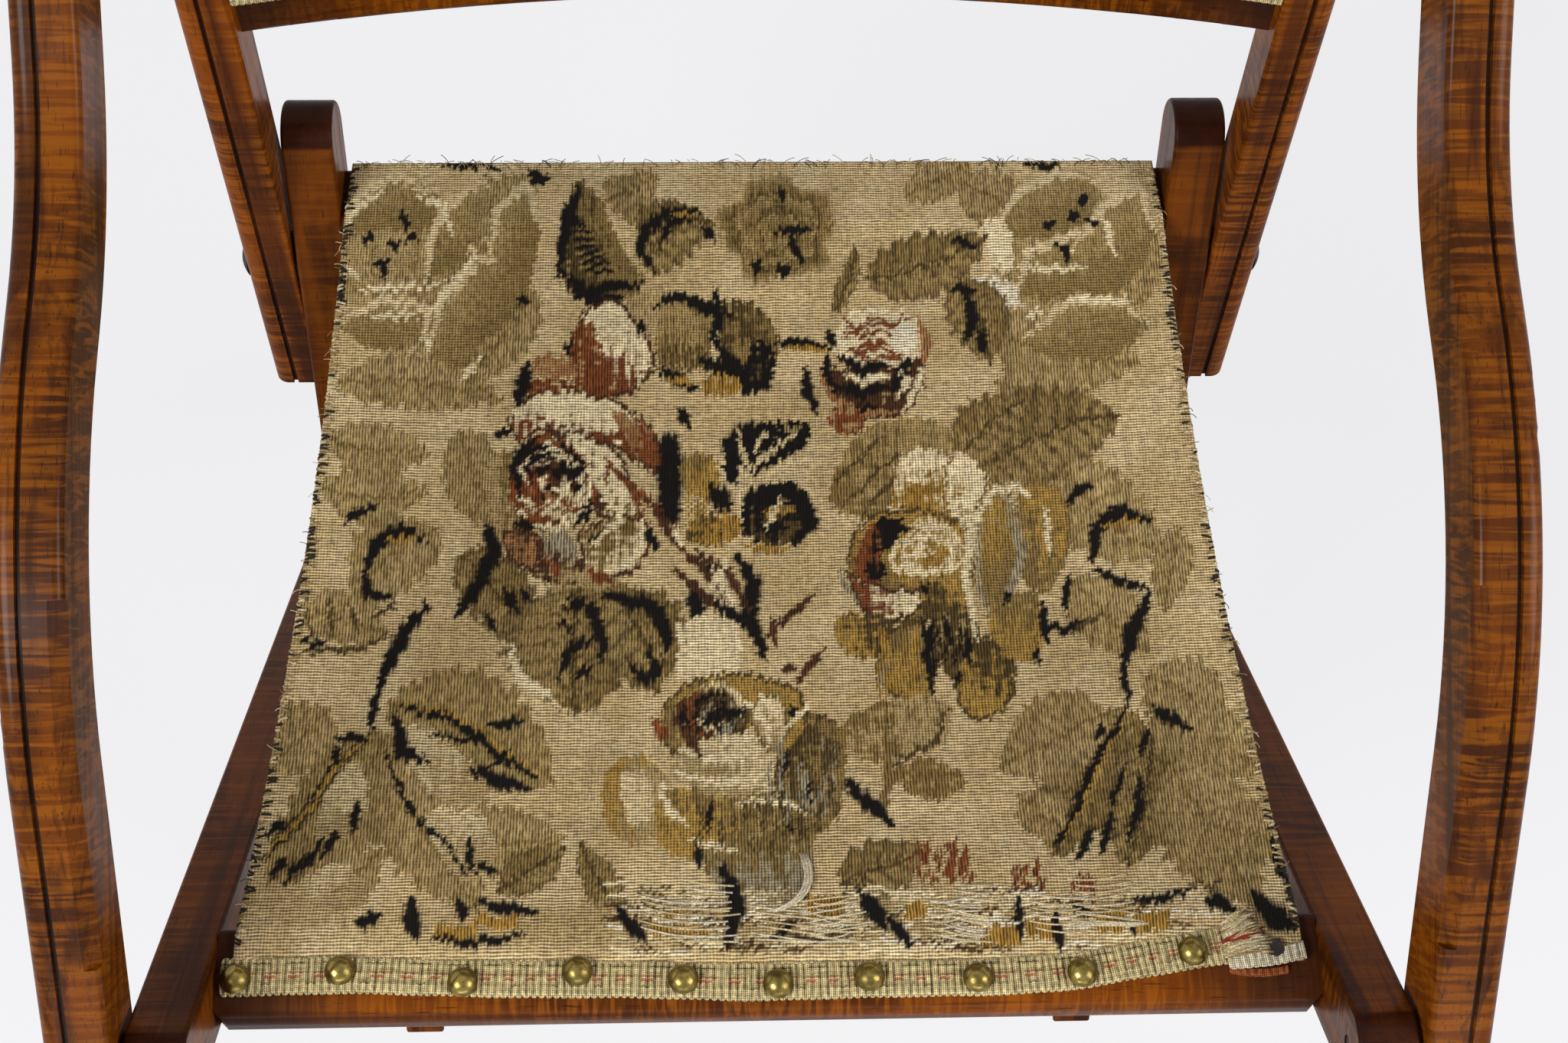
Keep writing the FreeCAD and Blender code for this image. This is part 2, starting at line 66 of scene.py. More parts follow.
# Camera, as the photograph was taken: metres, degrees, and pixels of a 2048 by 1362 picture
camera_place = Vector((-0.0218, -0.3490, 1.3132))
camera_down = 69.9
camera_yaw = 5.733
camera_roll = 4.864
focal_pixels = 2900.0
picture_width = 2048
picture_height = 1362
sensor = 36.0

# Sizes that the cloth shares with the frame it hangs on
rail_height = 20 * mm
under_lift = 0.3 * mm
under_thick = 1.0 * mm
cloth_lift = 1.6 * mm
cloth_thick = 1.6 * mm
front_half = 194 * mm
rear_half = 173.5 * mm
waist = 2 * mm
edge_sag = 11 * mm
middle_sag = 19 * mm
rail_front_half = 17 * mm
rail_rear_half = 15 * mm
gimp_back = -2 * mm
gimp_width = 14 * mm
gimp_thick = 3.4 * mm
cloth_front = -2.2 * mm
clearance = 0.3 * mm
tuck = 2 * mm
unravelled = 11 * mm
half_rail = 200 * mm
recline = 13.2
back_bow = 20 * mm
panel_front = -9.8 * mm
panel_half = 199.7 * mm
panel_foot = 157.5 * mm
panel_height = 366.5 * mm
lining_back = 11.0 * mm
back_gimp_width = 12 * mm
back_gimp_thick = 1.9 * mm

# Line of the front gimp: shares of half the rail, and millimetres back from its middle
gimp_path = [(-0.9875, 0), (-0.775, 0.5), (-0.5, -1.8), (-0.25, -2.8), (-0.05, -4.6), (0.13, -4.2),
             (0.41, -4), (0.56, -2.4), (0.685, 2), (0.775, 4.5), (0.89, 9)]

# Slopes of the wood's grain in the side plane, in degrees
arm_slope = 22
inner_slope = 58.5
outer_slope = 134.2
stile_slope = 76.8

# Incised lines, darkened with painted shade: distance from the middle and half width, and the side that
# shows them
arm_groove = (237 * mm, 0.8 * mm, (0, 0, 1))
stile_groove = (212.2 * mm, 0.8 * mm, (0, -1, 0))

# Loose threads: radii, and how many there are
stitch_radius = 0.5 * mm
hair_radius = 0.16 * mm
weft_radius = 0.4 * mm
loop_radius = 0.55 * mm
end_radius = 0.36 * mm
rear_hairs = 150
side_hairs = 60
weft_groups = 15
weft_rows = 6
end_threads = 130


def linear(level):
    level /= 255
    return level / 12.92 if level <= 0.04045 else ((level + 0.055) / 1.055) ** 2.4


def rgb(red, green, blue):
    return (linear(red), linear(green), linear(blue), 1.0)


# Thread colours
ground = rgb(214, 186, 134)
tan = rgb(180, 154, 104)
olive = rgb(140, 115, 66)
dark_olive = rgb(90, 72, 39)
leaf_light = rgb(168, 142, 90)
ink = rgb(17, 12, 9)
brown = rgb(80, 50, 29)
rust = rgb(128, 70, 36)
pale_rust = rgb(166, 118, 74)
ochre = rgb(168, 128, 56)
gold = rgb(172, 136, 66)
cream = rgb(246, 226, 180)
bone = rgb(246, 232, 200)
grey = rgb(158, 146, 118)
braid_cream = rgb(227, 207, 151)
red_thread = rgb(176, 52, 42)
green_thread = rgb(120, 118, 60)
pale = rgb(226, 203, 154)
thread_shadow = rgb(60, 50, 34)
hessian_brown = rgb(150, 112, 66)
lining_brown = rgb(104, 78, 48)
scrap_rust = rgb(178, 98, 52)

# Stains on wood and metal; the groove colour is painted shade, and the rail ends' colour is a stain with
# painted shade
pore_brown = rgb(30, 13, 6)
end_grain = rgb(40, 17, 13)
groove_shade_colour = rgb(22, 11, 6)
rail_end_stain_and_shade = rgb(44, 22, 15)
bright_brass = rgb(148, 129, 72)
dull_brass = rgb(98, 85, 44)
brass_spot = rgb(58, 50, 30)
bare_iron = rgb(44, 42, 44)
iron_rust = rgb(78, 54, 40)

# Frames of the seat and the back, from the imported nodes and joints
joints = {joint["name"]: joint for joint in frame["record"]["behaviour"]["joints"]}


def box_middle(node):
    low, high = (Vector(corner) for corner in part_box(node))
    return (low + high) / 2


front_rail = box_middle("front_seat_rail")
rear_rail = box_middle("rear_seat_rail")
seat_length = (rear_rail - front_rail).length
seat_along = (rear_rail - front_rail).normalized()
seat_up = Vector((1, 0, 0)).cross(seat_along)
back_pivot = Vector(joints["back_tilt"]["pos_m"])
back_up = Vector((0, math.sin(math.radians(recline)), math.cos(math.radians(recline))))
back_out = Vector((0, math.cos(math.radians(recline)), -math.sin(math.radians(recline))))


def placed(origin, along, up, x, y, z):
    """World places of points x across, y along and z up from an origin."""
    return np.array(origin)[None, :] + np.outer(x, (1, 0, 0)) + np.outer(y, along) + np.outer(z, up)


def in_seat(x, y, z):
    return placed(front_rail, seat_along, seat_up, x, y, z)


def in_back(x, y, z):
    return placed(back_pivot, back_out, back_up, x, y, z)


# Camera
down = math.radians(camera_down)
yaw = math.radians(camera_yaw)
roll = math.radians(camera_roll)
view_ahead = Vector((math.sin(yaw) * math.cos(down), math.cos(yaw) * math.cos(down), -math.sin(down)))
level_right = Vector((math.cos(yaw), -math.sin(yaw), 0))
level_up = level_right.cross(view_ahead)
view_right = math.cos(roll) * level_right + math.sin(roll) * level_up
view_up = math.cos(roll) * level_up - math.sin(roll) * level_right
camera = bpy.data.objects.new("camera", bpy.data.cameras.new("camera"))
camera.data.sensor_width = sensor
camera.data.lens = focal_pixels / picture_width * sensor
camera_turn = Matrix((view_right, view_up, -view_ahead)).transposed().to_4x4()
camera.matrix_world = Matrix.Translation(camera_place) @ camera_turn
bpy.context.scene.collection.objects.link(camera)
bpy.context.scene.camera = camera


def in_picture(points):
    """Where world points lie in the photograph, in its pixels."""
    away = points - np.array(camera_place)[None, :]
    depth = away @ np.array(view_ahead)
    return (picture_width / 2 + focal_pixels * (away @ np.array(view_right)) / depth,
            picture_height / 2 - focal_pixels * (away @ np.array(view_up)) / depth)


def seat_place(across, down, height):
    """Where a picture place lies on a plane above the seat's, in the seat's frame."""
    ray = focal_pixels * view_ahead + (across - picture_width / 2) * view_right
    ray = ray - (down - picture_height / 2) * view_up
    share = (height + (front_rail - camera_place).dot(seat_up)) / ray.dot(seat_up)
    point = camera_place + ray * share - front_rail
    return point.x, point.dot(seat_along)


class Look:
    """A material's nodes, with short ways to add and join them."""

    def __init__(self, name, roughness):
        self.material = bpy.data.materials.new(name)
        self.material.use_nodes = True
        self.tree = self.material.node_tree
        self.shader = self.tree.nodes["Principled BSDF"]
        self.shader.inputs["Roughness"].default_value = roughness

    def add(self, kind, **settings):
        node = self.tree.nodes.new(kind)
        for key, value in settings.items():
            setattr(node, key, value)
        return node

    def join(self, source, target):
        if hasattr(source, "is_output"):
            self.tree.links.new(source, target)
        else:
            target.default_value = source

    def place(self):
        return self.add("ShaderNodeTexCoord").outputs["Object"]

    def moved(self, vector, scale, turn=0.0, swing=0.0):
        node = self.add("ShaderNodeMapping")
        node.inputs["Scale"].default_value = scale
        node.inputs["Rotation"].default_value = (math.radians(turn), 0, math.radians(swing))
        self.join(vector, node.inputs["Vector"])
        return node.outputs["Vector"]

    def noise(self, vector, scale, detail=2.0, distortion=0.0):
        node = self.add("ShaderNodeTexNoise")
        node.inputs["Scale"].default_value = scale
        node.inputs["Detail"].default_value = detail
        node.inputs["Distortion"].default_value = distortion
        self.join(vector, node.inputs["Vector"])
        return node.outputs["Fac"]

    def sum(self, operation, first, second=0.0, third=0.0):
        node = self.add("ShaderNodeMath", operation=operation)
        for value, socket in zip((first, second, third), node.inputs):
            self.join(value, socket)
        return node.outputs["Value"]

    def spread(self, value, low, high, to_low=0.0, to_high=1.0):
        node = self.add("ShaderNodeMapRange", interpolation_type="SMOOTHSTEP")
        for number, socket in zip((value, low, high, to_low, to_high), node.inputs):
            self.join(number, socket)
        return node.outputs["Result"]

    def mix(self, share, first, second):
        node = self.add("ShaderNodeMix", data_type="RGBA")
        self.join(share, node.inputs["Factor"])
        self.join(first, node.inputs[6])
        self.join(second, node.inputs[7])
        return node.outputs[2]

    def axis(self, vector, name):
        node = self.add("ShaderNodeSeparateXYZ")
        self.join(vector, node.inputs[0])
        return node.outputs[name]

    def attribute(self, name, output):
        return self.add("ShaderNodeAttribute", attribute_name=name).outputs[output]

    def facing(self, normal, way):
        node = self.add("ShaderNodeVectorMath", operation="DOT_PRODUCT")
        self.join(normal, node.inputs[0])
        node.inputs[1].default_value = way
        return node.outputs["Value"]

    def bump(self, height, strength, distance):
        node = self.add("ShaderNodeBump")
        node.inputs["Strength"].default_value = strength
        node.inputs["Distance"].default_value = distance
        self.join(height, node.inputs["Height"])
        self.join(node.outputs["Normal"], self.shader.inputs["Normal"])

    def colour(self, value):
        self.join(value, self.shader.inputs["Base Color"])

    def constant(self, **values):
        for name, value in values.items():
            self.shader.inputs[name.replace("_", " ")].default_value = value


def wood(name, slope, figure, tone, polish, end=None, groove=None, crosswise=False):
    """Polished walnut, grained at a slope in the side plane or crosswise; end is where end grain faces."""
    look = Look(name, 0.3)
    place = look.place()
    board = look.moved(place, (1, 1, 1), -slope, 90 if crosswise else 0)
    grain = look.noise(look.moved(board, (330, 8, 330)), 1.0, 4.0, 0.5)
    stripe = look.noise(look.moved(board, (22, 330, 60)), 1.0, 3.0, 0.9)
    cloud = look.noise(look.moved(board, (34, 11, 34)), 1.0, 4.0, 0.8)
    pores = look.noise(look.moved(board, (1500, 90, 1500)), 1.0, 1.0)
    streak = look.noise(look.moved(board, (90, 2.5, 90)), 1.0, 2.0, 0.4)
    dark = rgb(52 * tone, 22 * tone, 5 * tone)
    middle = rgb(114 * tone, 56 * tone, 6 * tone)
    golden = rgb(162 * tone, 90 * tone, 13 * tone)
    shade = look.mix(look.spread(cloud, 0.34, 0.6, 0.2, 1.0), dark, middle)
    shade = look.mix(look.sum("MULTIPLY", look.spread(stripe, 0.42, 0.64), figure), shade, golden)
    shade = look.mix(look.spread(streak, 0.5, 0.66, 0.0, 0.75), shade, dark)
    shade = look.mix(look.spread(grain, 0.48, 0.3, 0.0, 0.5), shade, dark)
    shade = look.mix(look.spread(pores, 0.36, 0.28, 0.0, 0.6), shade, pore_brown)
    facing = look.add("ShaderNodeNewGeometry").outputs["Normal"]
    if end:
        toward = look.facing(facing, end)
        shade = look.mix(look.spread(toward, 0.12, 0.22, 0.0, 0.85), shade, end_grain)
    # Painted shade in the incised groove, on the face that shows it, stronger in patches
    if groove:
        middle_x, half_width, outward = groove
        across = look.sum("ABSOLUTE", look.axis(place, "X"))
        near = look.sum("COMPARE", across, middle_x, half_width)
        shown = look.sum("GREATER_THAN", look.facing(facing, outward), -0.2)
        shade_strength = look.spread(cloud, 0.3, 0.6, 0.95, 0.7)
        groove_shading = look.sum("MULTIPLY", look.sum("MULTIPLY", near, shown), shade_strength)
        shade = look.mix(groove_shading, shade, groove_shade_colour)
    # Rail ends beside the joints: a darker stain with painted shade
    if crosswise:
        across = look.sum("ABSOLUTE", look.axis(place, "X"))
        shade = look.mix(look.spread(across, 0.13, 0.195, 0.0, 0.8), shade, rail_end_stain_and_shade)
    look.colour(shade)
    look.join(look.spread(grain, 0.3, 0.7, 0.24, 0.4), look.shader.inputs["Roughness"])
    look.bump(look.sum("ADD", grain, look.sum("MULTIPLY", pores, 0.5)), 0.1, 0.4 * mm)
    look.constant(Coat_Weight=polish, Coat_Roughness=0.22, Specular_IOR_Level=0.03)
    return look.material


def brass():
    look = Look("antique_brass", 0.3)
    patina = look.noise(look.place(), 260.0, 4.0)
    spots = look.noise(look.place(), 900.0, 2.0)
    shade = look.mix(look.spread(patina, 0.35, 0.65), bright_brass, dull_brass)
    look.colour(look.mix(look.spread(spots, 0.62, 0.72, 0.0, 0.6), shade, brass_spot))
    look.join(look.spread(patina, 0.3, 0.7, 0.2, 0.36), look.shader.inputs["Roughness"])
    look.bump(patina, 0.08, 0.3 * mm)
    look.constant(Metallic=1.0)
    return look.material


def iron():
    look = Look("dark_iron", 0.6)
    rusting = look.noise(look.place(), 320.0, 4.0)
    look.colour(look.mix(look.spread(rusting, 0.45, 0.7), bare_iron, iron_rust))
    look.bump(rusting, 0.25, 0.3 * mm)
    look.constant(Metallic=0.7)
    return look.material


def fibre():
    """Single threads, coloured one by one."""
    look = Look("loose_thread", 0.85)
    twist = look.noise(look.place(), 1800.0, 2.0)
    furrow = look.spread(twist, 0.3, 0.6, 0.0, 0.6)
    look.colour(look.mix(furrow, look.attribute("paint", "Color"), thread_shadow))
    look.bump(twist, 0.3, 0.1 * mm)
    look.constant(Sheen_Weight=0.06, Specular_IOR_Level=0.15)
    return look.material


def cloth(name, rib_pitch, depth):
    """Painted thread: weft ribs across, and warp floats along, where the figure is woven."""
    look = Look(name, 0.88)
    paint = look.attribute("paint", "Color")
    warp = look.attribute("warp", "Fac")
    weave = look.attribute("weave", "Vector")
    across = look.axis(weave, "X")
    along = look.axis(weave, "Y")
    wobble = look.noise(look.moved(weave, (160, 160, 1)), 1.0, 2.0)
    turns = 2 * math.pi / rib_pitch
    weft = look.sum("SINE", look.sum("MULTIPLY_ADD", along, turns, look.sum("MULTIPLY", wobble, 5.0)))
    ends = look.sum("SINE", look.sum("MULTIPLY_ADD", across, turns, look.sum("MULTIPLY", wobble, 4.0)))
    flat_slub = look.noise(look.moved(weave, (300, 1100, 1)), 1.0, 2.0)
    tall_slub = look.noise(look.moved(weave, (1100, 260, 1)), 1.0, 2.0)
    weft = look.sum("ADD", weft, look.sum("MULTIPLY_ADD", flat_slub, 3.0, -1.5))
    ends = look.sum("ADD", ends, look.sum("MULTIPLY_ADD", tall_slub, 4.4, -2.2))
    ends_in_weft = look.sum("MULTIPLY_ADD", ends, 0.35, weft)
    chosen = look.add("ShaderNodeMix", data_type="FLOAT")
    look.join(warp, chosen.inputs["Factor"])
    look.join(ends_in_weft, chosen.inputs[2])
    look.join(ends, chosen.inputs[3])
    thread = chosen.outputs[0]
    # Painted highlight on the thread crests and painted shade in the gaps between them
    shaded = look.add("ShaderNodeVectorMath", operation="SCALE")
    look.join(paint, shaded.inputs[0])
    look.join(look.spread(thread, -1.5, 1.5, 0.22, 1.36), shaded.inputs["Scale"])
    look.colour(shaded.outputs["Vector"])
    look.bump(thread, 0.5, depth)
    look.constant(Sheen_Weight=0.06, Sheen_Roughness=0.5, Specular_IOR_Level=0.12)
    return look.material


def side_way(slope):
    """The way of a slope in the side plane."""
    return 0, math.cos(math.radians(slope)), math.sin(math.radians(slope))


walnut_arm = wood("walnut_arm", arm_slope, 0.6, 0.9, 0.16, groove=arm_groove)
walnut_outer = wood("walnut_outer_leg", outer_slope, 0.35, 0.95, 0.1, side_way(outer_slope))
walnut_inner = wood("walnut_inner_leg", inner_slope, 0.2, 0.88, 0.06, side_way(inner_slope))
walnut_stile = wood("walnut_stile", stile_slope, 0.4, 1.06, 0.05, groove=stile_groove)
walnut_rail = wood("walnut_rail", 0, 0.45, 1.0, 0.1, crosswise=True)
tack_brass = brass()
dark_iron = iron()
loose_thread = fibre()
tapestry = cloth("tapestry", 1.2 * mm, 0.5 * mm)
woven_tape = cloth("braid_thread", 0.75 * mm, 0.12 * mm)

walnut_nodes = {"arm": walnut_arm, "outer_leg": walnut_outer, "inner_leg": walnut_inner,
                "back_stile": walnut_stile}
for name, node in frame["nodes"].items():
    stem = name.rsplit("_", 1)[0]
    material = walnut_nodes.get(stem, dark_iron)
    if name.endswith(("rail", "stretcher")):
        material = walnut_rail
    if name in ("seat_tacks", "arm_studs"):
        material = tack_brass
    for slot in node.material_slots:
        slot.material = material


def floats(lines, along, run):
    """Random tones that hold for short runs along each line of thread."""
    starts = dice.integers(0, run, lines.max() + 1)[lines]
    runs = (along + starts) // run
    return dice.uniform(-1, 1, (lines.max() + 1, runs.max() + 1))[lines, runs]


def one_colour(colour, count):
    return np.tile(np.array(colour), (count, 1))


class Canvas:
    """Colours on cloth, painted by the places that its points have in a picture, in pixels."""

    pitch = 4.0
    feather = 5.0

    def __init__(self, across, down):
        thread = (across / self.pitch).astype(int)
        shot = (down / self.pitch).astype(int)
        thread -= thread.min()
        shot -= shot.min()
        self.thread = thread
        self.shot = shot
        self.u = across + (self.feather * 0.6 * dice.uniform(-1, 1, shot.max() + 1))[shot]
        self.v = down + (self.feather * dice.uniform(-1, 1, thread.max() + 1))[thread]
        self.hatch = floats(thread, shot, 7) + 0.7 * floats(shot, thread, 5)
        self.paint = one_colour(ground, len(across))
        self.warp = np.zeros(len(across))

    def cover(self, mask, colour, warp):
        colour = np.array(colour)
        self.paint += (colour - self.paint) * mask[:, None]
        self.warp += (warp - self.warp) * mask

    def cloud(self, size, amount, colour, warp):
        """Uneven fading: a smooth random field over the cloth."""
        field = np.zeros(len(self.u))
        for _ in range(7):
            turn = dice.uniform(0, math.tau)
            wave = math.tau / size * dice.uniform(0.6, 1.6)
            slant = self.u * math.cos(turn) + self.v * math.sin(turn)
            field += np.sin(wave * slant + dice.uniform(0, math.tau))
        self.cover(amount * np.clip(field / 4 + 0.3, 0, 1), colour, warp)

    def stroke(self, points, width, colour, warp=1.0, taper=0.35):
        """A line through points, widest in its middle."""
        points = np.array(points, float)
        runs = np.linalg.norm(np.diff(points, axis=0), axis=1)
        starts = np.concatenate([[0], np.cumsum(runs)])
        nearest = np.full(len(self.u), np.inf)
        for start, end, run, begun in zip(points[:-1], points[1:], runs, starts):
            way = (end - start) / run
            share = np.clip((self.u - start[0]) * way[0] + (self.v - start[1]) * way[1], 0, run)
            gone = (begun + share) / starts[-1]
            half = width / 2 * (taper + (1 - taper) * np.sin(np.pi * gone))
            away = np.hypot(self.u - start[0] - way[0] * share, self.v - start[1] - way[1] * share)
            nearest = np.minimum(nearest, away / half)
        self.cover(np.clip((1.25 - nearest) * 2, 0, 1), colour, warp)

    def patch(self, place, reach, colour, warp=1.0, turn=0.0, soft=0.15):
        """An ellipse with a soft edge."""
        turn = math.radians(turn)
        x = (self.u - place[0]) * math.cos(turn) + (self.v - place[1]) * math.sin(turn)
        y = (self.v - place[1]) * math.cos(turn) - (self.u - place[0]) * math.sin(turn)
        far = np.hypot(x / reach[0], y / reach[1])
        self.cover(np.clip((1 - far) / soft, 0, 1), colour, warp)

    def shape(self, outline, colour, warp, fade=None, second=None, rim=None):
        """A filled, rounded outline, which may fade to a second colour from one place to another."""
        corners = np.array(outline, float)
        before, after = np.roll(corners, 1, axis=0), np.roll(corners, -1, axis=0)
        beyond = np.roll(corners, -2, axis=0)
        curve = []
        for t in np.linspace(0, 0.8, 5):
            square = (2 * before - 5 * corners + 4 * after - beyond) * t ** 2
            cube = (3 * corners - before - 3 * after + beyond) * t ** 3
            curve.append(0.5 * (2 * corners + (after - before) * t + square + cube))
        curve = np.stack(curve, axis=1).reshape(-1, 2)
        low, high = curve.min(axis=0), curve.max(axis=0)
        boxed = (self.u > low[0]) & (self.u < high[0]) & (self.v > low[1]) & (self.v < high[1])
        near = np.nonzero(boxed)[0]
        u, v = self.u[near], self.v[near]
        inside = np.zeros(len(near), bool)
        for start, end in zip(curve, np.roll(curve, -1, axis=0)):
            if start[1] != end[1]:
                crossing = (end[0] - start[0]) * (v - start[1]) / (end[1] - start[1]) + start[0]
                inside ^= ((start[1] > v) != (end[1] > v)) & (u < crossing)
        mask = np.zeros(len(self.u))
        mask[near] = inside
        self.cover(mask, colour, warp)
        self.cover(mask * (self.hatch > 0.8) * 0.6, tan, warp * 0.5)
        if fade:
            way = np.array(fade[1], float) - np.array(fade[0], float)
            gone = ((self.u - fade[0][0]) * way[0] + (self.v - fade[0][1]) * way[1]) / (way @ way)
            self.cover(mask * np.clip(3 * (gone - 0.5) + 0.5 + 0.9 * self.hatch, 0, 1), second, warp * 0.6)
        if rim:
            self.stroke(np.concatenate([curve[::3], curve[:1]]), 5.5, rim, 0.8, 0.7)

    def streak(self):
        """Threads and shots of uneven tone."""
        threads = dice.uniform(-1, 1, self.thread.max() + 1)[self.thread]
        shots = dice.uniform(-1, 1, self.shot.max() + 1)[self.shot]
        raised = self.warp * (0.18 * threads + 0.16 * self.hatch)
        plain = (1 - self.warp) * (0.12 * shots + 0.08 * self.hatch)
        self.paint[:, :3] *= (1 + raised + plain)[:, None]

    def leaf(self, base, tip, half, bend, colour, edge, veins):
        """A pointed leaf with a midrib and side veins, lighter on one side."""
        warp = 0.9
        base, tip = np.array(base, float), np.array(tip, float)
        length = np.linalg.norm(tip - base)
        way = (tip - base) / length
        t = ((self.u - base[0]) * way[0] + (self.v - base[1]) * way[1]) / length
        inside = np.clip(t, 0, 1)
        side = (self.v - base[1]) * way[0] - (self.u - base[0]) * way[1]
        side = side - bend * 4 * inside * (1 - inside)
        ripple = 1 + 0.1 * np.sin(veins * math.tau * inside)
        width = half * np.sin(np.pi * inside ** 0.8) ** 0.75 * ripple
        away = np.abs(side) / np.maximum(width, 0.01)
        mask = np.clip((1.08 - away) * 6, 0, 1) * (t > 0) * (t < 1)
        self.cover(mask, colour, warp)
        self.cover(mask * (side + 0.3 * half * self.hatch > 0) * 0.6, leaf_light, warp * 0.8)
        rib = np.sin(math.tau * (veins * t - 0.9 * away))
        self.cover(mask * np.clip(rib * 2 - 1, 0, 1) * 0.75, edge, 1.0)
        self.cover(mask * np.clip((away - 0.72) * 4, 0, 1) * 0.8, edge, 1.0)
        self.cover(mask * (np.abs(side) < 2.5), edge, 1.0)

    def rose(self, place, radius, light, middle, dark, turn=0.0, rings=4, squeeze=1.0):
        """Petals in rings that overlap like a whorl."""
        x = (self.u - place[0]) / squeeze
        y = self.v - place[1]
        far = np.hypot(x, y) / radius
        angle = np.arctan2(y, x) + turn
        scallop = 1 + 0.09 * np.sin(5 * angle) + 0.05 * np.sin(9 * angle + 1)
        far = far / scallop
        mask = np.clip((1 - far) * 9, 0, 1)
        ring = np.floor(far * rings)
        within = far * rings - ring
        petals = 3 + ring
        swirl = (angle + ring * 1.9 + within * 0.9) * petals / math.tau
        edge = swirl - np.floor(swirl)
        glow = np.clip(within * 0.9 + 0.35 * edge - 0.15 + 0.16 * self.hatch, 0, 1)
        self.cover(mask, middle, 0.6)
        self.cover(mask * np.clip(glow * 2 - 0.9, 0, 1), light, 0.2)
        self.cover(mask * np.clip(0.8 - glow * 2.4, 0, 1), dark, 0.9)
        self.cover(mask * np.clip((0.1 - edge) * 12, 0, 1) * 0.8, dark, 1.0)

    def whorl(self, place, reach, shades):
        """Crescents of thread, wound outwards from a flower's heart."""
        for step, shade in enumerate(shades):
            radius = reach * (step + 1.5) / (len(shades) + 1)
            turns = 2.4 * step + np.linspace(0, 2.2, 5)
            arc = [(place[0] + radius * math.cos(turn), place[1] + radius * math.sin(turn))
                   for turn in turns]
            self.stroke(arc, 0.13 * reach + 3, shade, 0.7)

    def dashes(self, count, area, size, colour, warp):
        """Short broken threads, scattered in an area."""
        for _ in range(count):
            x, y = dice.uniform(area[0], area[2]), dice.uniform(area[1], area[3])
            reach = size * dice.uniform(0.5, 1.5)
            end = (x, y + reach) if warp > 0.5 else (x + reach, y + dice.uniform(-3, 3))
            self.stroke([(x, y), end], 4.5, colour, warp, 0.8)


def faded_ground(canvas):
    canvas.cloud(260, 0.45, tan, 0.2)
    canvas.cloud(120, 0.3, cream, 0.0)


def flowers(canvas):
    """Roses and leaves, placed as they lie in the photograph."""
    for motif in (faded_roses, top_leaves, side_curls, big_rose, black_leaves, rosebud, golden_rose,
                  lower_leaves, lower_rose):
        motif(canvas)


def seat_pattern(canvas):
    faded_ground(canvas)
    flowers(canvas)
    worn_front(canvas)
    canvas.streak()


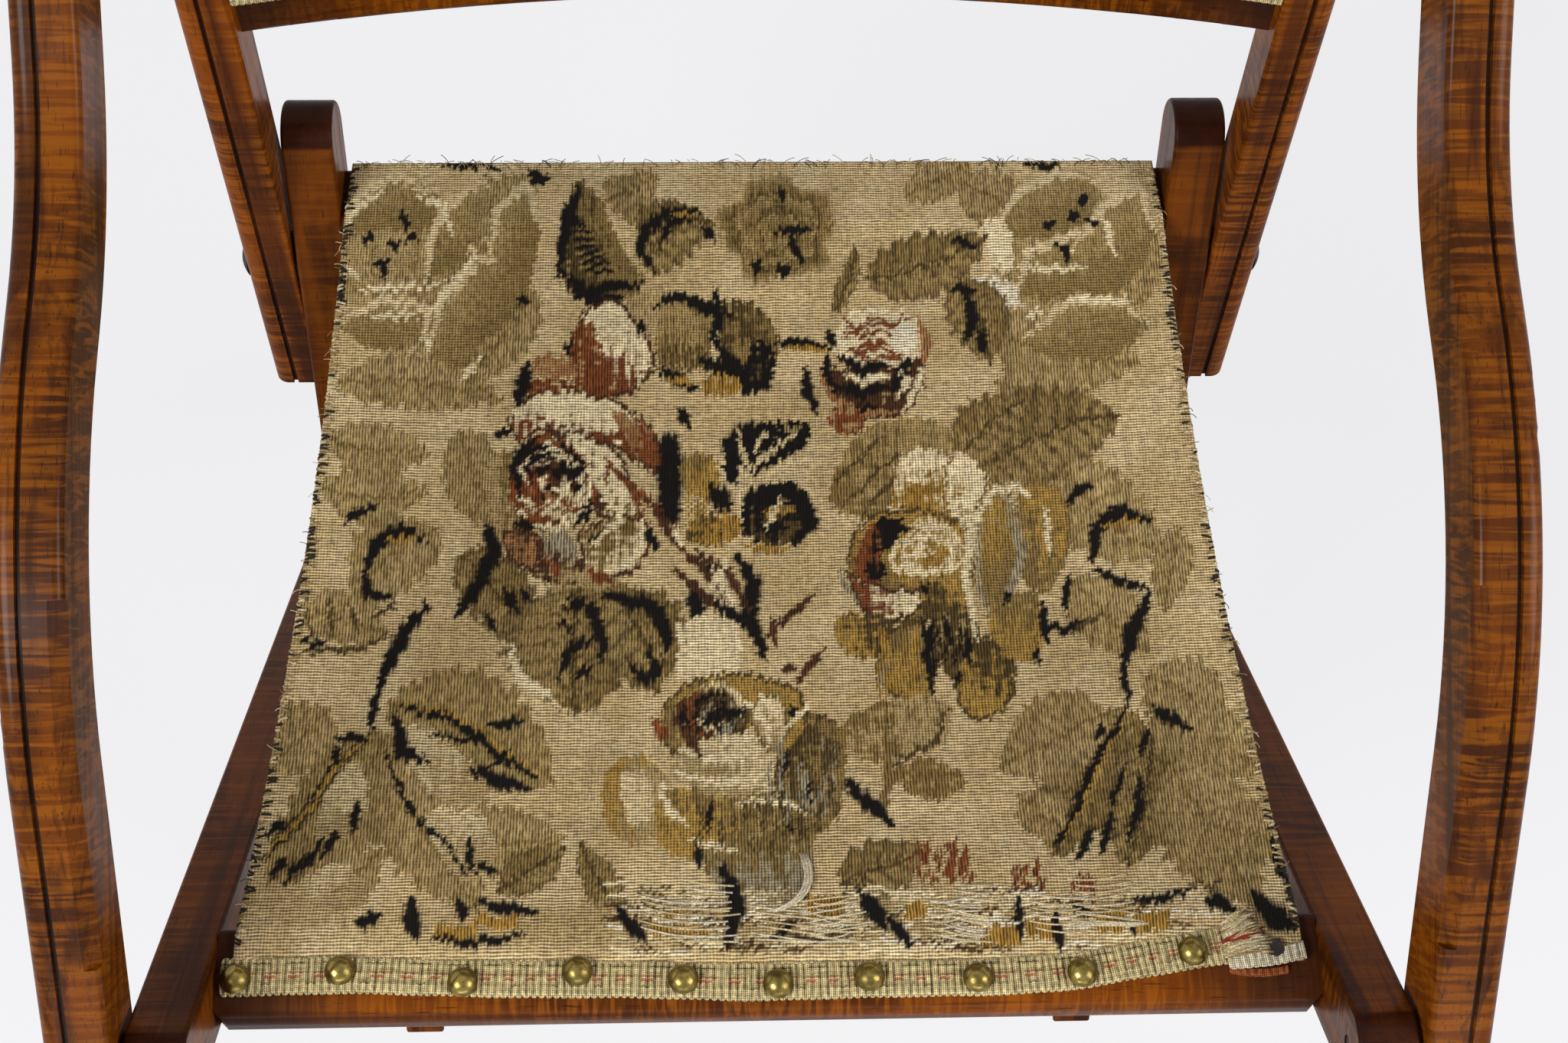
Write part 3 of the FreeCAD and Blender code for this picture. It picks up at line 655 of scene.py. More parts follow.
def faded_roses(canvas):
    """Pale roses in both rear corners."""
    for side, turn in (((512, 325), 0.4), ((1384, 325), 1.6)):
        canvas.rose(side, 96, leaf_light, tan, olive, turn, 3)
    for base, tip, half, bend in (
            ((700, 236), (586, 330), 34, 10), ((690, 330), (560, 470), 50, 12),
            ((470, 440), (640, 420), 34, -8), ((440, 500), (660, 520), 34, -10),
            ((430, 575), (560, 590), 36, 8), ((700, 380), (610, 500), 36, 0),
            ((600, 560), (664, 700), 40, 8), ((1290, 430), (1490, 470), 50, 12),
            ((1300, 500), (1440, 530), 34, 0), ((1430, 400), (1510, 300), 40, 6),
            ((1180, 256), (1270, 214), 24, 0), ((1250, 236), (1350, 300), 36, -6)):
        canvas.leaf(base, tip, half, bend, tan, olive, 7)
    for outline, light, dark in (
            ([(446, 300), (470, 250), (520, 232), (570, 250), (560, 300), (500, 300)], (500, 240),
              (510, 300)),
            ([(556, 360), (566, 300), (604, 250), (640, 240), (628, 300), (590, 350)], (590, 270),
              (600, 350)),
            ([(560, 456), (576, 396), (620, 346), (684, 322), (690, 380), (640, 440), (600, 480)],
              (590, 380), (660, 430)),
            ([(640, 330), (650, 270), (690, 240), (706, 300), (690, 350)], (650, 290), (700, 320)),
            ([(444, 420), (500, 392), (560, 400), (552, 440), (490, 456)], (500, 396), (500, 456)),
            ([(1300, 300), (1330, 250), (1380, 226), (1430, 236), (1420, 290), (1350, 310)], (1350, 240),
              (1370, 306)),
            ([(1330, 380), (1340, 330), (1400, 306), (1450, 320), (1440, 370), (1380, 390)], (1380, 310),
              (1390, 390)),
            ([(1400, 330), (1440, 270), (1490, 240), (1506, 300), (1480, 360), (1430, 390)], (1440, 280),
              (1480, 350)),
            ([(1340, 440), (1390, 396), (1460, 390), (1500, 420), (1460, 460), (1390, 470)], (1400, 400),
              (1420, 466))):
        canvas.shape(outline, leaf_light, 0.5, (light, dark), olive)
        canvas.stroke(outline[:4], 12, pale, 0.0)
    for points in (
            [(468, 378), (530, 376), (583, 370)], [(484, 414), (545, 413)],
            [(564, 407), (590, 370), (621, 330)], [(556, 430), (560, 452)], [(1326, 349), (1418, 351)],
            [(1388, 391), (1476, 390)], [(450, 300), (470, 268), (500, 250)],
            [(540, 250), (580, 270), (590, 310)], [(1276, 390), (1340, 398)],
            [(1290, 300), (1310, 330), (1322, 352)], [(600, 495), (628, 470)], [(1340, 415), (1364, 404)],
            [(440, 350), (470, 362)], [(1440, 280), (1456, 330)]):
        canvas.stroke(points, 9, cream, 0.0)
    canvas.shape([(1280, 300), (1302, 286), (1322, 312), (1318, 352), (1296, 348)], cream, 0.0)
    canvas.shape([(1262, 368), (1290, 360), (1330, 374), (1322, 400), (1284, 406)], bone, 0.0)
    for place, reach in (
            ((529, 289), (7, 13)), ((538, 312), (11, 6)), ((481, 311), (9, 8)), ((516, 320), (10, 8)),
            ((497, 344), (13, 5)), ((500, 355), (5, 11)), ((446, 372), (6, 13)), ((446, 392), (6, 9)),
            ((1414, 263), (7, 10)), ((1369, 291), (10, 7)), ((1404, 284), (9, 9)), ((1426, 290), (9, 5)),
            ((1388, 321), (13, 5)), ((1392, 332), (5, 11)), ((704, 234), (15, 8)), ((683, 391), (8, 8))):
        canvas.patch(place, reach, ink)
    canvas.stroke([(575, 213), (610, 214), (652, 218)], 13, ink)
    canvas.stroke([(1340, 214), (1385, 216)], 13, ink)
    canvas.stroke([(690, 222), (712, 240)], 14, ink)


def top_leaves(canvas):
    """Leaves and a pale flower along the rear edge."""
    canvas.shape([(757, 236), (786, 262), (800, 300), (820, 336), (842, 372), (812, 392), (762, 390),
                  (728, 362), (730, 310), (740, 270)], dark_olive, 0.9, ((734, 330), (810, 320)), olive)
    canvas.leaf((790, 238), (852, 300), 24, -6, tan, olive, 5)
    canvas.stroke([(756, 244), (738, 300), (730, 352)], 18, ink)
    for step in range(7):
        canvas.stroke([(736 + 4 * step, 270 + 13 * step), (764 + 6 * step, 292 + 11 * step)], 6, ink, 1.0,
                      0.6)
    canvas.stroke([(727, 356), (766, 380), (836, 372)], 18, ink)
    canvas.stroke([(750, 386), (785, 393), (815, 391)], 15, ink)
    canvas.leaf((840, 350), (934, 290), 44, -24, olive, dark_olive, 6)
    canvas.stroke([(853, 353), (836, 330), (842, 300), (870, 280), (916, 276)], 17, ink)
    canvas.stroke([(862, 322), (874, 292), (905, 286)], 11, ink)
    canvas.stroke([(878, 283), (908, 281)], 7, ochre)
    canvas.stroke([(918, 296), (934, 314)], 14, ink)
    canvas.rose((1016, 300), 70, leaf_light, olive, dark_olive, 0.8, 3, 1.1)
    canvas.stroke([(1009, 302), (1058, 301)], 12, ink)
    canvas.stroke([(1032, 308), (1046, 346)], 13, ink)
    for place, reach in (((986, 347), (8, 11)), ((1022, 353), (11, 10)), ((1020, 254), (6, 10))):
        canvas.patch(place, reach, ink)
    canvas.leaf((1130, 366), (1290, 310), 42, 8, olive, dark_olive, 7)
    canvas.stroke([(1244, 312), (1276, 324)], 12, ink)
    canvas.leaf((860, 230), (790, 266), 20, 0, tan, olive, 4)
    canvas.leaf((1090, 410), (1118, 322), 13, 4, olive, dark_olive, 3)
    canvas.leaf((1250, 364), (1292, 474), 40, -10, olive, dark_olive, 6)
    for points, width in (
            ([(1244, 377), (1274, 380)], 14), ([(1262, 384), (1270, 412), (1262, 446)], 17),
            ([(1280, 430), (1286, 462)], 14), ([(1194, 564), (1194, 590)], 13),
            ([(1220, 572), (1230, 610)], 20)):
        canvas.stroke(points, width, ink)
    canvas.leaf((1276, 618), (1462, 540), 64, -14, olive, dark_olive, 9)
    canvas.leaf((1250, 600), (1340, 520), 40, -6, olive, dark_olive, 6)
    canvas.shape([(1084, 650), (1098, 600), (1130, 562), (1180, 546), (1236, 556), (1240, 590),
                  (1196, 604), (1172, 640), (1150, 672), (1106, 674)],
                 olive, 0.9, ((1100, 660), (1230, 560)), leaf_light)
    for start, end in (
            ((1100, 664), (1172, 590)), ((1130, 668), (1190, 600)), ((1092, 630), (1150, 572))):
        canvas.stroke([start, end], 6, dark_olive, 1.0, 0.6)


def side_curls(canvas):
    """Curled leaves, roundels and stems at both sides."""
    canvas.leaf((420, 640), (560, 640), 34, 10, tan, olive, 6)
    canvas.leaf((570, 690), (466, 800), 50, 20, tan, olive, 6)
    canvas.leaf((600, 720), (700, 850), 44, -8, olive, dark_olive, 7)
    canvas.leaf((1390, 610), (1520, 720), 56, 16, tan, olive, 7)
    canvas.leaf((1400, 760), (1500, 850), 44, 0, tan, olive, 6)
    canvas.leaf((1540, 690), (1520, 800), 26, 0, tan, olive, 5)
    canvas.leaf((390, 800), (510, 830), 34, -6, tan, olive, 6)
    for points, width in (
            ([(492, 660), (470, 668), (452, 682)], 13),
            ([(556, 704), (522, 692), (490, 712), (477, 746)], 20),
            ([(478, 746), (480, 774), (514, 784)], 15), ([(1428, 634), (1408, 642), (1394, 660)], 14),
            ([(1502, 678), (1460, 664), (1432, 690), (1426, 732)], 20),
            ([(1430, 742), (1464, 757), (1502, 766)], 14),
            ([(560, 788), (528, 828), (508, 866), (496, 900)], 22), ([(494, 896), (484, 954)], 13),
            ([(1502, 772), (1476, 830), (1467, 872)], 22), ([(1467, 868), (1474, 920)], 12),
            ([(643, 716), (628, 762), (597, 800)], 22), ([(638, 686), (648, 732)], 24),
            ([(660, 768), (680, 806)], 17), ([(682, 768), (698, 800)], 14),
            ([(634, 798), (648, 822)], 11), ([(391, 838), (424, 843)], 13),
            ([(1397, 750), (1390, 794)], 12), ([(1362, 800), (1368, 836)], 14),
            ([(1364, 814), (1392, 822), (1424, 812)], 13)):
        canvas.stroke(points, width, ink)
    canvas.stroke([(506, 706), (544, 704)], 9, ochre)
    canvas.stroke([(1440, 686), (1486, 676)], 8, ochre)
    for points in (
            [(430, 786), (436, 834)], [(391, 853), (463, 849), (502, 833)], [(486, 806), (520, 790)],
            [(1440, 800), (1400, 830)], [(400, 806), (412, 830)], [(456, 790), (470, 826)]):
        canvas.stroke(points, 8, dark_olive)


def big_rose(canvas):
    """The full rose in rust and cream, with its bud and sepals."""
    canvas.shape([(752, 430), (765, 405), (790, 394), (815, 402), (832, 425), (850, 450), (852, 482),
                  (832, 508), (800, 520), (768, 512), (750, 490), (744, 460)],
                 rust, 0.5, ((770, 510), (820, 420)), cream, brown)
    canvas.shape([(750, 430), (772, 420), (784, 450), (792, 488), (810, 514), (772, 514), (748, 486)],
                 rust, 0.9)
    canvas.shape([(776, 412), (800, 398), (818, 414), (816, 440), (800, 456), (786, 438)], cream, 0.1)
    canvas.shape([(696, 470), (720, 463), (750, 474), (754, 492), (725, 496), (700, 492)], pale_rust, 0.4)
    canvas.shape([(690, 496), (730, 500), (776, 504), (800, 520), (745, 524), (700, 522)], rust, 0.9)
    canvas.shape([(816, 392), (850, 380), (892, 386), (876, 404), (858, 420), (838, 424)], tan, 0.5)
    canvas.shape([(858, 420), (870, 402), (895, 396), (922, 408), (932, 432), (926, 464), (912, 484),
                  (868, 482), (856, 455)], olive, 0.9, ((890, 470), (895, 405)), leaf_light)
    for x in range(866, 926, 9):
        canvas.stroke([(x, 450 + abs(x - 894) * 0.3), (x + 1, 484)], 4, dark_olive, 1.0, 0.7)
    canvas.shape([(936, 404), (960, 392), (994, 404), (1018, 440), (1014, 470), (995, 486), (970, 480),
                  (946, 456)], dark_olive, 0.9, ((940, 400), (1010, 480)), olive)
    canvas.shape([(984, 446), (1008, 452), (1010, 486), (992, 508), (974, 494)], ink, 1.0,
                 ((990, 450), (990, 540)), dark_olive)
    for points, width in (
            ([(886, 386), (925, 404), (954, 412)], 19), ([(935, 378), (938, 410), (930, 446)], 15),
            ([(688, 474), (684, 502), (676, 528)], 22), ([(862, 484), (908, 510)], 20),
            ([(914, 470), (962, 486), (980, 514)], 24), ([(1008, 470), (998, 502), (978, 510)], 18),
            ([(834, 420), (838, 436)], 14), ([(888, 536), (900, 558)], 18),
            ([(738, 460), (748, 448)], 12), ([(854, 400), (880, 390), (926, 396)], 13),
            ([(934, 440), (950, 470), (986, 490)], 16)):
        canvas.stroke(points, width, ink)
    canvas.shape([(916, 500), (935, 488), (962, 494), (968, 512), (940, 516), (920, 514)], ochre, 1.0)
    canvas.stroke([(872, 497), (906, 501)], 10, ochre)
    canvas.shape([(636, 604), (664, 588), (670, 640), (684, 682), (662, 694), (640, 668)], olive, 0.6,
                 ((672, 640), (642, 640)), tan)
    canvas.shape([(664, 544), (690, 520), (723, 510), (762, 512), (802, 526), (838, 548), (864, 582),
                  (862, 616), (836, 606), (812, 590), (786, 576), (756, 566), (726, 560), (698, 562),
                  (676, 576)], rust, 0.3, ((770, 590), (775, 536)), cream, brown)
    canvas.shape([(800, 540), (838, 552), (862, 584), (860, 612), (836, 602), (820, 576)], pale_rust, 0.6,
                 ((810, 560), (856, 600)), rust)
    canvas.shape([(692, 576), (735, 560), (780, 574), (810, 602), (828, 640), (832, 682), (806, 694),
                  (786, 674), (770, 640), (744, 604), (716, 592)],
                 brown, 0.4, ((748, 634), (790, 600)), cream, brown)
    canvas.shape([(796, 610), (820, 632), (838, 668), (836, 690), (808, 692), (792, 660)], olive, 0.5,
                 ((800, 690), (812, 630)), cream, rust)
    canvas.shape([(676, 592), (700, 568), (735, 576), (764, 598), (780, 626), (778, 656), (760, 682),
                  (730, 692), (700, 692), (676, 674), (666, 640), (666, 612)],
                 brown, 0.9, ((690, 690), (720, 590)), rust)
    canvas.shape([(692, 604), (710, 584), (740, 592), (752, 604), (730, 612), (706, 616)], rust, 0.5,
                 ((730, 612), (716, 586)), cream)
    canvas.shape([(684, 640), (710, 630), (744, 644), (760, 660), (736, 676), (704, 668)], brown, 0.6,
                 ((740, 670), (706, 636)), pale_rust)
    canvas.shape([(758, 694), (800, 676), (842, 678), (848, 706), (834, 740), (806, 754), (780, 756),
                  (762, 732)], olive, 0.9, ((766, 690), (840, 750)), pale, brown)
    canvas.whorl((716, 634), 58,
                 (ink, cream, brown, pale_rust, ink, cream, rust,
                  brown, pale, ink, cream, rust, ink, cream))
    canvas.shape([(688, 704), (730, 716), (766, 736), (800, 756), (836, 774), (780, 782), (730, 772),
                  (694, 748), (676, 722)], brown, 0.9, ((740, 716), (760, 778)), tan)
    canvas.shape([(660, 692), (690, 692), (714, 712), (708, 738), (682, 740), (660, 716)], brown, 0.9,
                 ((704, 696), (668, 728)), pale_rust, brown)
    for points, width in (
            ([(703, 572), (678, 589), (670, 615), (680, 637)], 13),
            ([(694, 590), (687, 609), (697, 624)], 10), ([(716, 612), (742, 618), (770, 612)], 19),
            ([(772, 650), (766, 672), (748, 686)], 12), ([(674, 682), (698, 688)], 14),
            ([(802, 688), (768, 706)], 10), ([(644, 566), (664, 560)], 13),
            ([(700, 640), (712, 652)], 11), ([(736, 590), (752, 600)], 9),
            ([(744, 640), (762, 634)], 10)):
        canvas.stroke(points, width, ink)
    for points, width in (
            ([(690, 594), (681, 612), (690, 632)], 6), ([(710, 580), (730, 584)], 7),
            ([(676, 648), (700, 656), (716, 672)], 7), ([(728, 600), (748, 604)], 6),
            ([(720, 634), (742, 640)], 6), ([(676, 664), (690, 674)], 7),
            ([(838, 682), (838, 716), (810, 744), (788, 751)], 8),
            ([(760, 600), (790, 640), (800, 676)], 8), ([(816, 650), (808, 684), (770, 712)], 9)):
        canvas.stroke(points, width, cream, 0.1)
    for points, width in (
            ([(789, 602), (822, 635), (856, 660), (880, 684), (890, 710)], 12),
            ([(700, 620), (704, 680)], 12), ([(716, 726), (728, 748)], 16),
            ([(770, 744), (800, 764)], 14), ([(836, 560), (850, 590)], 11),
            ([(730, 660), (760, 664)], 10)):
        canvas.stroke(points, width, rust)
    canvas.dashes(16, (712, 690, 752, 714), 22, grey, 1.0)
    canvas.stroke([(874, 580), (875, 625), (876, 672)], 34, ink, 1.0, 0.85)
    canvas.stroke([(846, 692), (856, 716)], 17, ink)
    canvas.stroke([(882, 690), (890, 720)], 9, cream, 0.2)


def black_leaves(canvas):
    """Dark leaves right of the big rose, with the stem below them."""
    canvas.shape([(950, 630), (946, 584), (968, 560), (1012, 550), (1056, 556), (1046, 588), (1006, 606),
                  (976, 626)], ink, 1.0)
    canvas.shape([(962, 684), (974, 652), (1004, 630), (1040, 632), (1062, 660), (1060, 694), (1030, 710),
                  (986, 706)], ink, 1.0, ((1000, 650), (1010, 730)), dark_olive)
    canvas.shape([(888, 604), (912, 592), (936, 604), (940, 640), (918, 652), (894, 640)], olive, 0.9,
                 ((890, 610), (936, 640)), gold)
    canvas.shape([(896, 690), (920, 672), (960, 674), (966, 700), (936, 712), (904, 710)], dark_olive,
                 0.9, ((900, 690), (960, 690)), ochre)
    for points, width in (
            ([(956, 604), (951, 582), (970, 566), (1018, 560)], 26),
            ([(985, 616), (1012, 590), (1052, 580)], 20), ([(958, 606), (966, 640)], 13),
            ([(930, 636), (952, 664)], 30), ([(970, 674), (984, 650), (1018, 634)], 24),
            ([(1020, 640), (1050, 656), (1060, 684), (1036, 712)], 22), ([(990, 690), (1026, 690)], 14),
            ([(962, 726), (986, 760), (978, 800), (999, 858)], 25),
            ([(898, 730), (926, 744), (950, 768)], 15), ([(930, 782), (974, 816)], 15),
            ([(908, 768), (910, 808)], 26)):
        canvas.stroke(points, width, ink)
    for points in (
            [(898, 690), (930, 690)], [(904, 706), (950, 704)], [(936, 682), (968, 682)],
            [(998, 668), (1034, 668)], [(972, 714), (1030, 717)], [(904, 612), (924, 640)]):
        canvas.stroke(points, 11, ochre)
    canvas.dashes(12, (898, 600, 924, 670), 22, gold, 1.0)
    for points in (
            [(962, 640), (990, 600), (1040, 566)], [(962, 560), (972, 600), (966, 640), (968, 684)],
            [(984, 588), (1002, 560)], [(972, 640), (1010, 612), (1060, 600)],
            [(1000, 690), (1020, 650)]):
        canvas.stroke(points, 8, pale, 0.2)
    for points in (
            [(884, 716), (916, 740), (960, 790)], [(906, 720), (950, 744), (980, 800)],
            [(880, 744), (920, 776), (940, 800)], [(846, 650), (870, 690), (884, 716)],
            [(820, 770), (850, 780), (872, 800)], [(1064, 778), (1030, 806), (1003, 828)],
            [(1076, 848), (1056, 872), (1042, 896)], [(1010, 806), (1012, 842)],
            [(1022, 872), (1040, 876)]):
        canvas.stroke(points, 12, brown)
    for points in ([(930, 740), (960, 790)], [(950, 730), (930, 770)]):
        canvas.stroke(points, 10, cream, 0.0)


def rosebud(canvas):
    """The small brown and cream bud behind the golden rose."""
    canvas.shape([(1096, 470), (1090, 436), (1112, 410), (1150, 402), (1190, 412), (1212, 440),
                  (1208, 470), (1160, 476)], cream, 0.2)
    canvas.dashes(56, (1098, 416, 1178, 470), 12, rust, 0.0)
    canvas.shape([(1166, 430), (1184, 420), (1198, 440), (1188, 460), (1168, 456)], bone, 0.0)
    canvas.stroke([(1198, 418), (1212, 450), (1204, 474)], 15, pale_rust)
    canvas.shape([(1076, 470), (1100, 484), (1160, 480), (1204, 472), (1206, 510), (1180, 540),
                  (1130, 548), (1092, 530), (1076, 500)], brown, 0.9)
    for points, width in (
            ([(1094, 466), (1124, 484), (1160, 476)], 17), ([(1092, 504), (1126, 514), (1162, 504)], 17),
            ([(1052, 482), (1056, 512), (1066, 540)], 17), ([(1080, 464), (1080, 492), (1092, 514)], 13),
            ([(1186, 468), (1168, 508)], 20), ([(1080, 430), (1092, 454)], 13),
            ([(1110, 532), (1150, 536)], 12)):
        canvas.stroke(points, width, ink)
    canvas.stroke([(1104, 492), (1130, 498), (1160, 490)], 11, cream, 0.1)
    canvas.stroke([(1206, 480), (1198, 510), (1180, 534)], 10, cream, 0.2)
    canvas.stroke([(1172, 486), (1188, 496), (1174, 520)], 8, cream, 0.2)
    canvas.stroke([(1070, 486), (1088, 520), (1126, 542), (1170, 536)], 9, pale_rust)
    canvas.shape([(1082, 540), (1104, 532), (1128, 542), (1120, 566), (1092, 566)], rust, 0.9)
    canvas.stroke([(1013, 446), (1050, 450), (1086, 456)], 15, ink)
    canvas.stroke([(1024, 455), (1084, 458)], 8, ochre)


def golden_rose(canvas):
    """The ochre and cream rose right of the middle, with its leaves."""
    canvas.shape([(1330, 652), (1350, 628), (1384, 640), (1398, 682), (1388, 734), (1370, 770),
                  (1344, 764), (1334, 730)], olive, 0.7, ((1336, 720), (1392, 690)), gold, olive)
    canvas.shape([(1166, 655), (1172, 604), (1200, 588), (1236, 596), (1250, 640), (1242, 676),
                  (1214, 680), (1188, 670)], ochre, 0.7, ((1206, 672), (1204, 596)), cream)
    canvas.shape([(1236, 604), (1262, 592), (1292, 622), (1278, 660), (1268, 700), (1272, 768),
                  (1248, 768), (1240, 700)], ochre, 0.5, ((1240, 700), (1280, 640)), cream, olive)
    canvas.shape([(1108, 752), (1114, 704), (1140, 674), (1180, 666), (1230, 674), (1264, 694),
                  (1268, 752), (1242, 804), (1190, 810), (1138, 804)],
                 olive, 0.4, ((1150, 800), (1200, 690)), gold, dark_olive)
    canvas.shape([(1158, 720), (1180, 694), (1216, 684), (1252, 694), (1262, 724), (1252, 754),
                  (1214, 762), (1176, 756)], gold, 0.2, ((1240, 756), (1176, 700)), cream, ochre)
    canvas.shape([(1180, 726), (1204, 708), (1236, 716), (1238, 738), (1208, 746)], ochre, 0.5,
                 ((1230, 742), (1190, 716)), gold)
    canvas.shape([(1188, 690), (1160, 674), (1134, 692), (1118, 722), (1120, 750), (1140, 766),
                  (1158, 750), (1150, 726), (1166, 708)], ink, 0.9, ((1160, 720), (1120, 720)), rust)
    canvas.stroke([(1132, 738), (1146, 756)], 14, ink)
    canvas.whorl((1210, 724), 46, (ochre, cream, gold, pale, ochre, cream, gold, pale))
    canvas.stroke([(1146, 682), (1172, 680)], 9, ink)
    canvas.shape([(1112, 752), (1150, 768), (1190, 772), (1210, 784), (1190, 804), (1150, 808),
                  (1124, 790)], rust, 0.3, ((1130, 800), (1180, 772)), cream, brown)
    canvas.shape([(1204, 758), (1236, 746), (1266, 754), (1264, 798), (1226, 810), (1204, 796)],
                 dark_olive, 0.8, ((1210, 806), (1256, 752)), gold)
    canvas.shape([(1284, 664), (1312, 646), (1332, 690), (1336, 732), (1320, 778), (1298, 806),
                  (1282, 774), (1278, 718)], gold, 0.6, ((1290, 680), (1326, 770)), olive, grey)
    canvas.shape([(1094, 806), (1140, 802), (1168, 814), (1164, 852), (1120, 860), (1094, 840)],
                 dark_olive, 0.8, ((1160, 810), (1100, 850)), gold)
    canvas.shape([(1144, 872), (1158, 828), (1192, 814), (1220, 830), (1222, 880), (1208, 914),
                  (1166, 906)], olive, 0.8, ((1200, 826), (1160, 900)), gold, dark_olive)
    canvas.shape([(1222, 806), (1262, 800), (1282, 826), (1272, 874), (1240, 884), (1222, 850)],
                 dark_olive, 1.0)
    canvas.shape([(1248, 878), (1270, 838), (1304, 836), (1326, 872), (1318, 918), (1284, 940),
                  (1254, 922)], dark_olive, 0.9, ((1280, 836), (1290, 930)), gold, dark_olive)
    canvas.shape([(1290, 808), (1320, 776), (1354, 776), (1364, 820), (1348, 862), (1312, 856)], olive,
                 0.8, ((1330, 780), (1326, 856)), gold)
    for points, width in (
            ([(1302, 640), (1268, 684), (1262, 750), (1276, 834)], 12),
            ([(1172, 712), (1210, 700), (1258, 714)], 9), ([(1164, 740), (1200, 750), (1262, 738)], 9),
            ([(1176, 726), (1220, 722)], 7), ([(1236, 636), (1258, 690)], 10),
            ([(1290, 640), (1330, 634), (1346, 650)], 10), ([(1366, 660), (1370, 720)], 8),
            ([(1196, 690), (1240, 684)], 8)):
        canvas.stroke(points, width, cream, 0.1)
    for points in (
            [(1314, 656), (1333, 726), (1312, 786)], [(1097, 740), (1104, 766), (1118, 786)],
            [(1160, 866), (1150, 898)]):
        canvas.stroke(points, 8, grey)
    for points, width in (
            ([(1204, 764), (1214, 772)], 13), ([(1206, 806), (1212, 850), (1218, 906)], 11),
            ([(1264, 826), (1262, 864)], 11), ([(1362, 784), (1366, 834)], 14),
            ([(1354, 846), (1356, 868)], 10), ([(1254, 880), (1252, 896)], 10),
            ([(1312, 786), (1320, 772)], 9)):
        canvas.stroke(points, width, ink)
    canvas.dashes(18, (1206, 800, 1270, 860), 20, ink, 1.0)
    canvas.dashes(16, (1146, 820, 1200, 890), 26, ochre, 1.0)


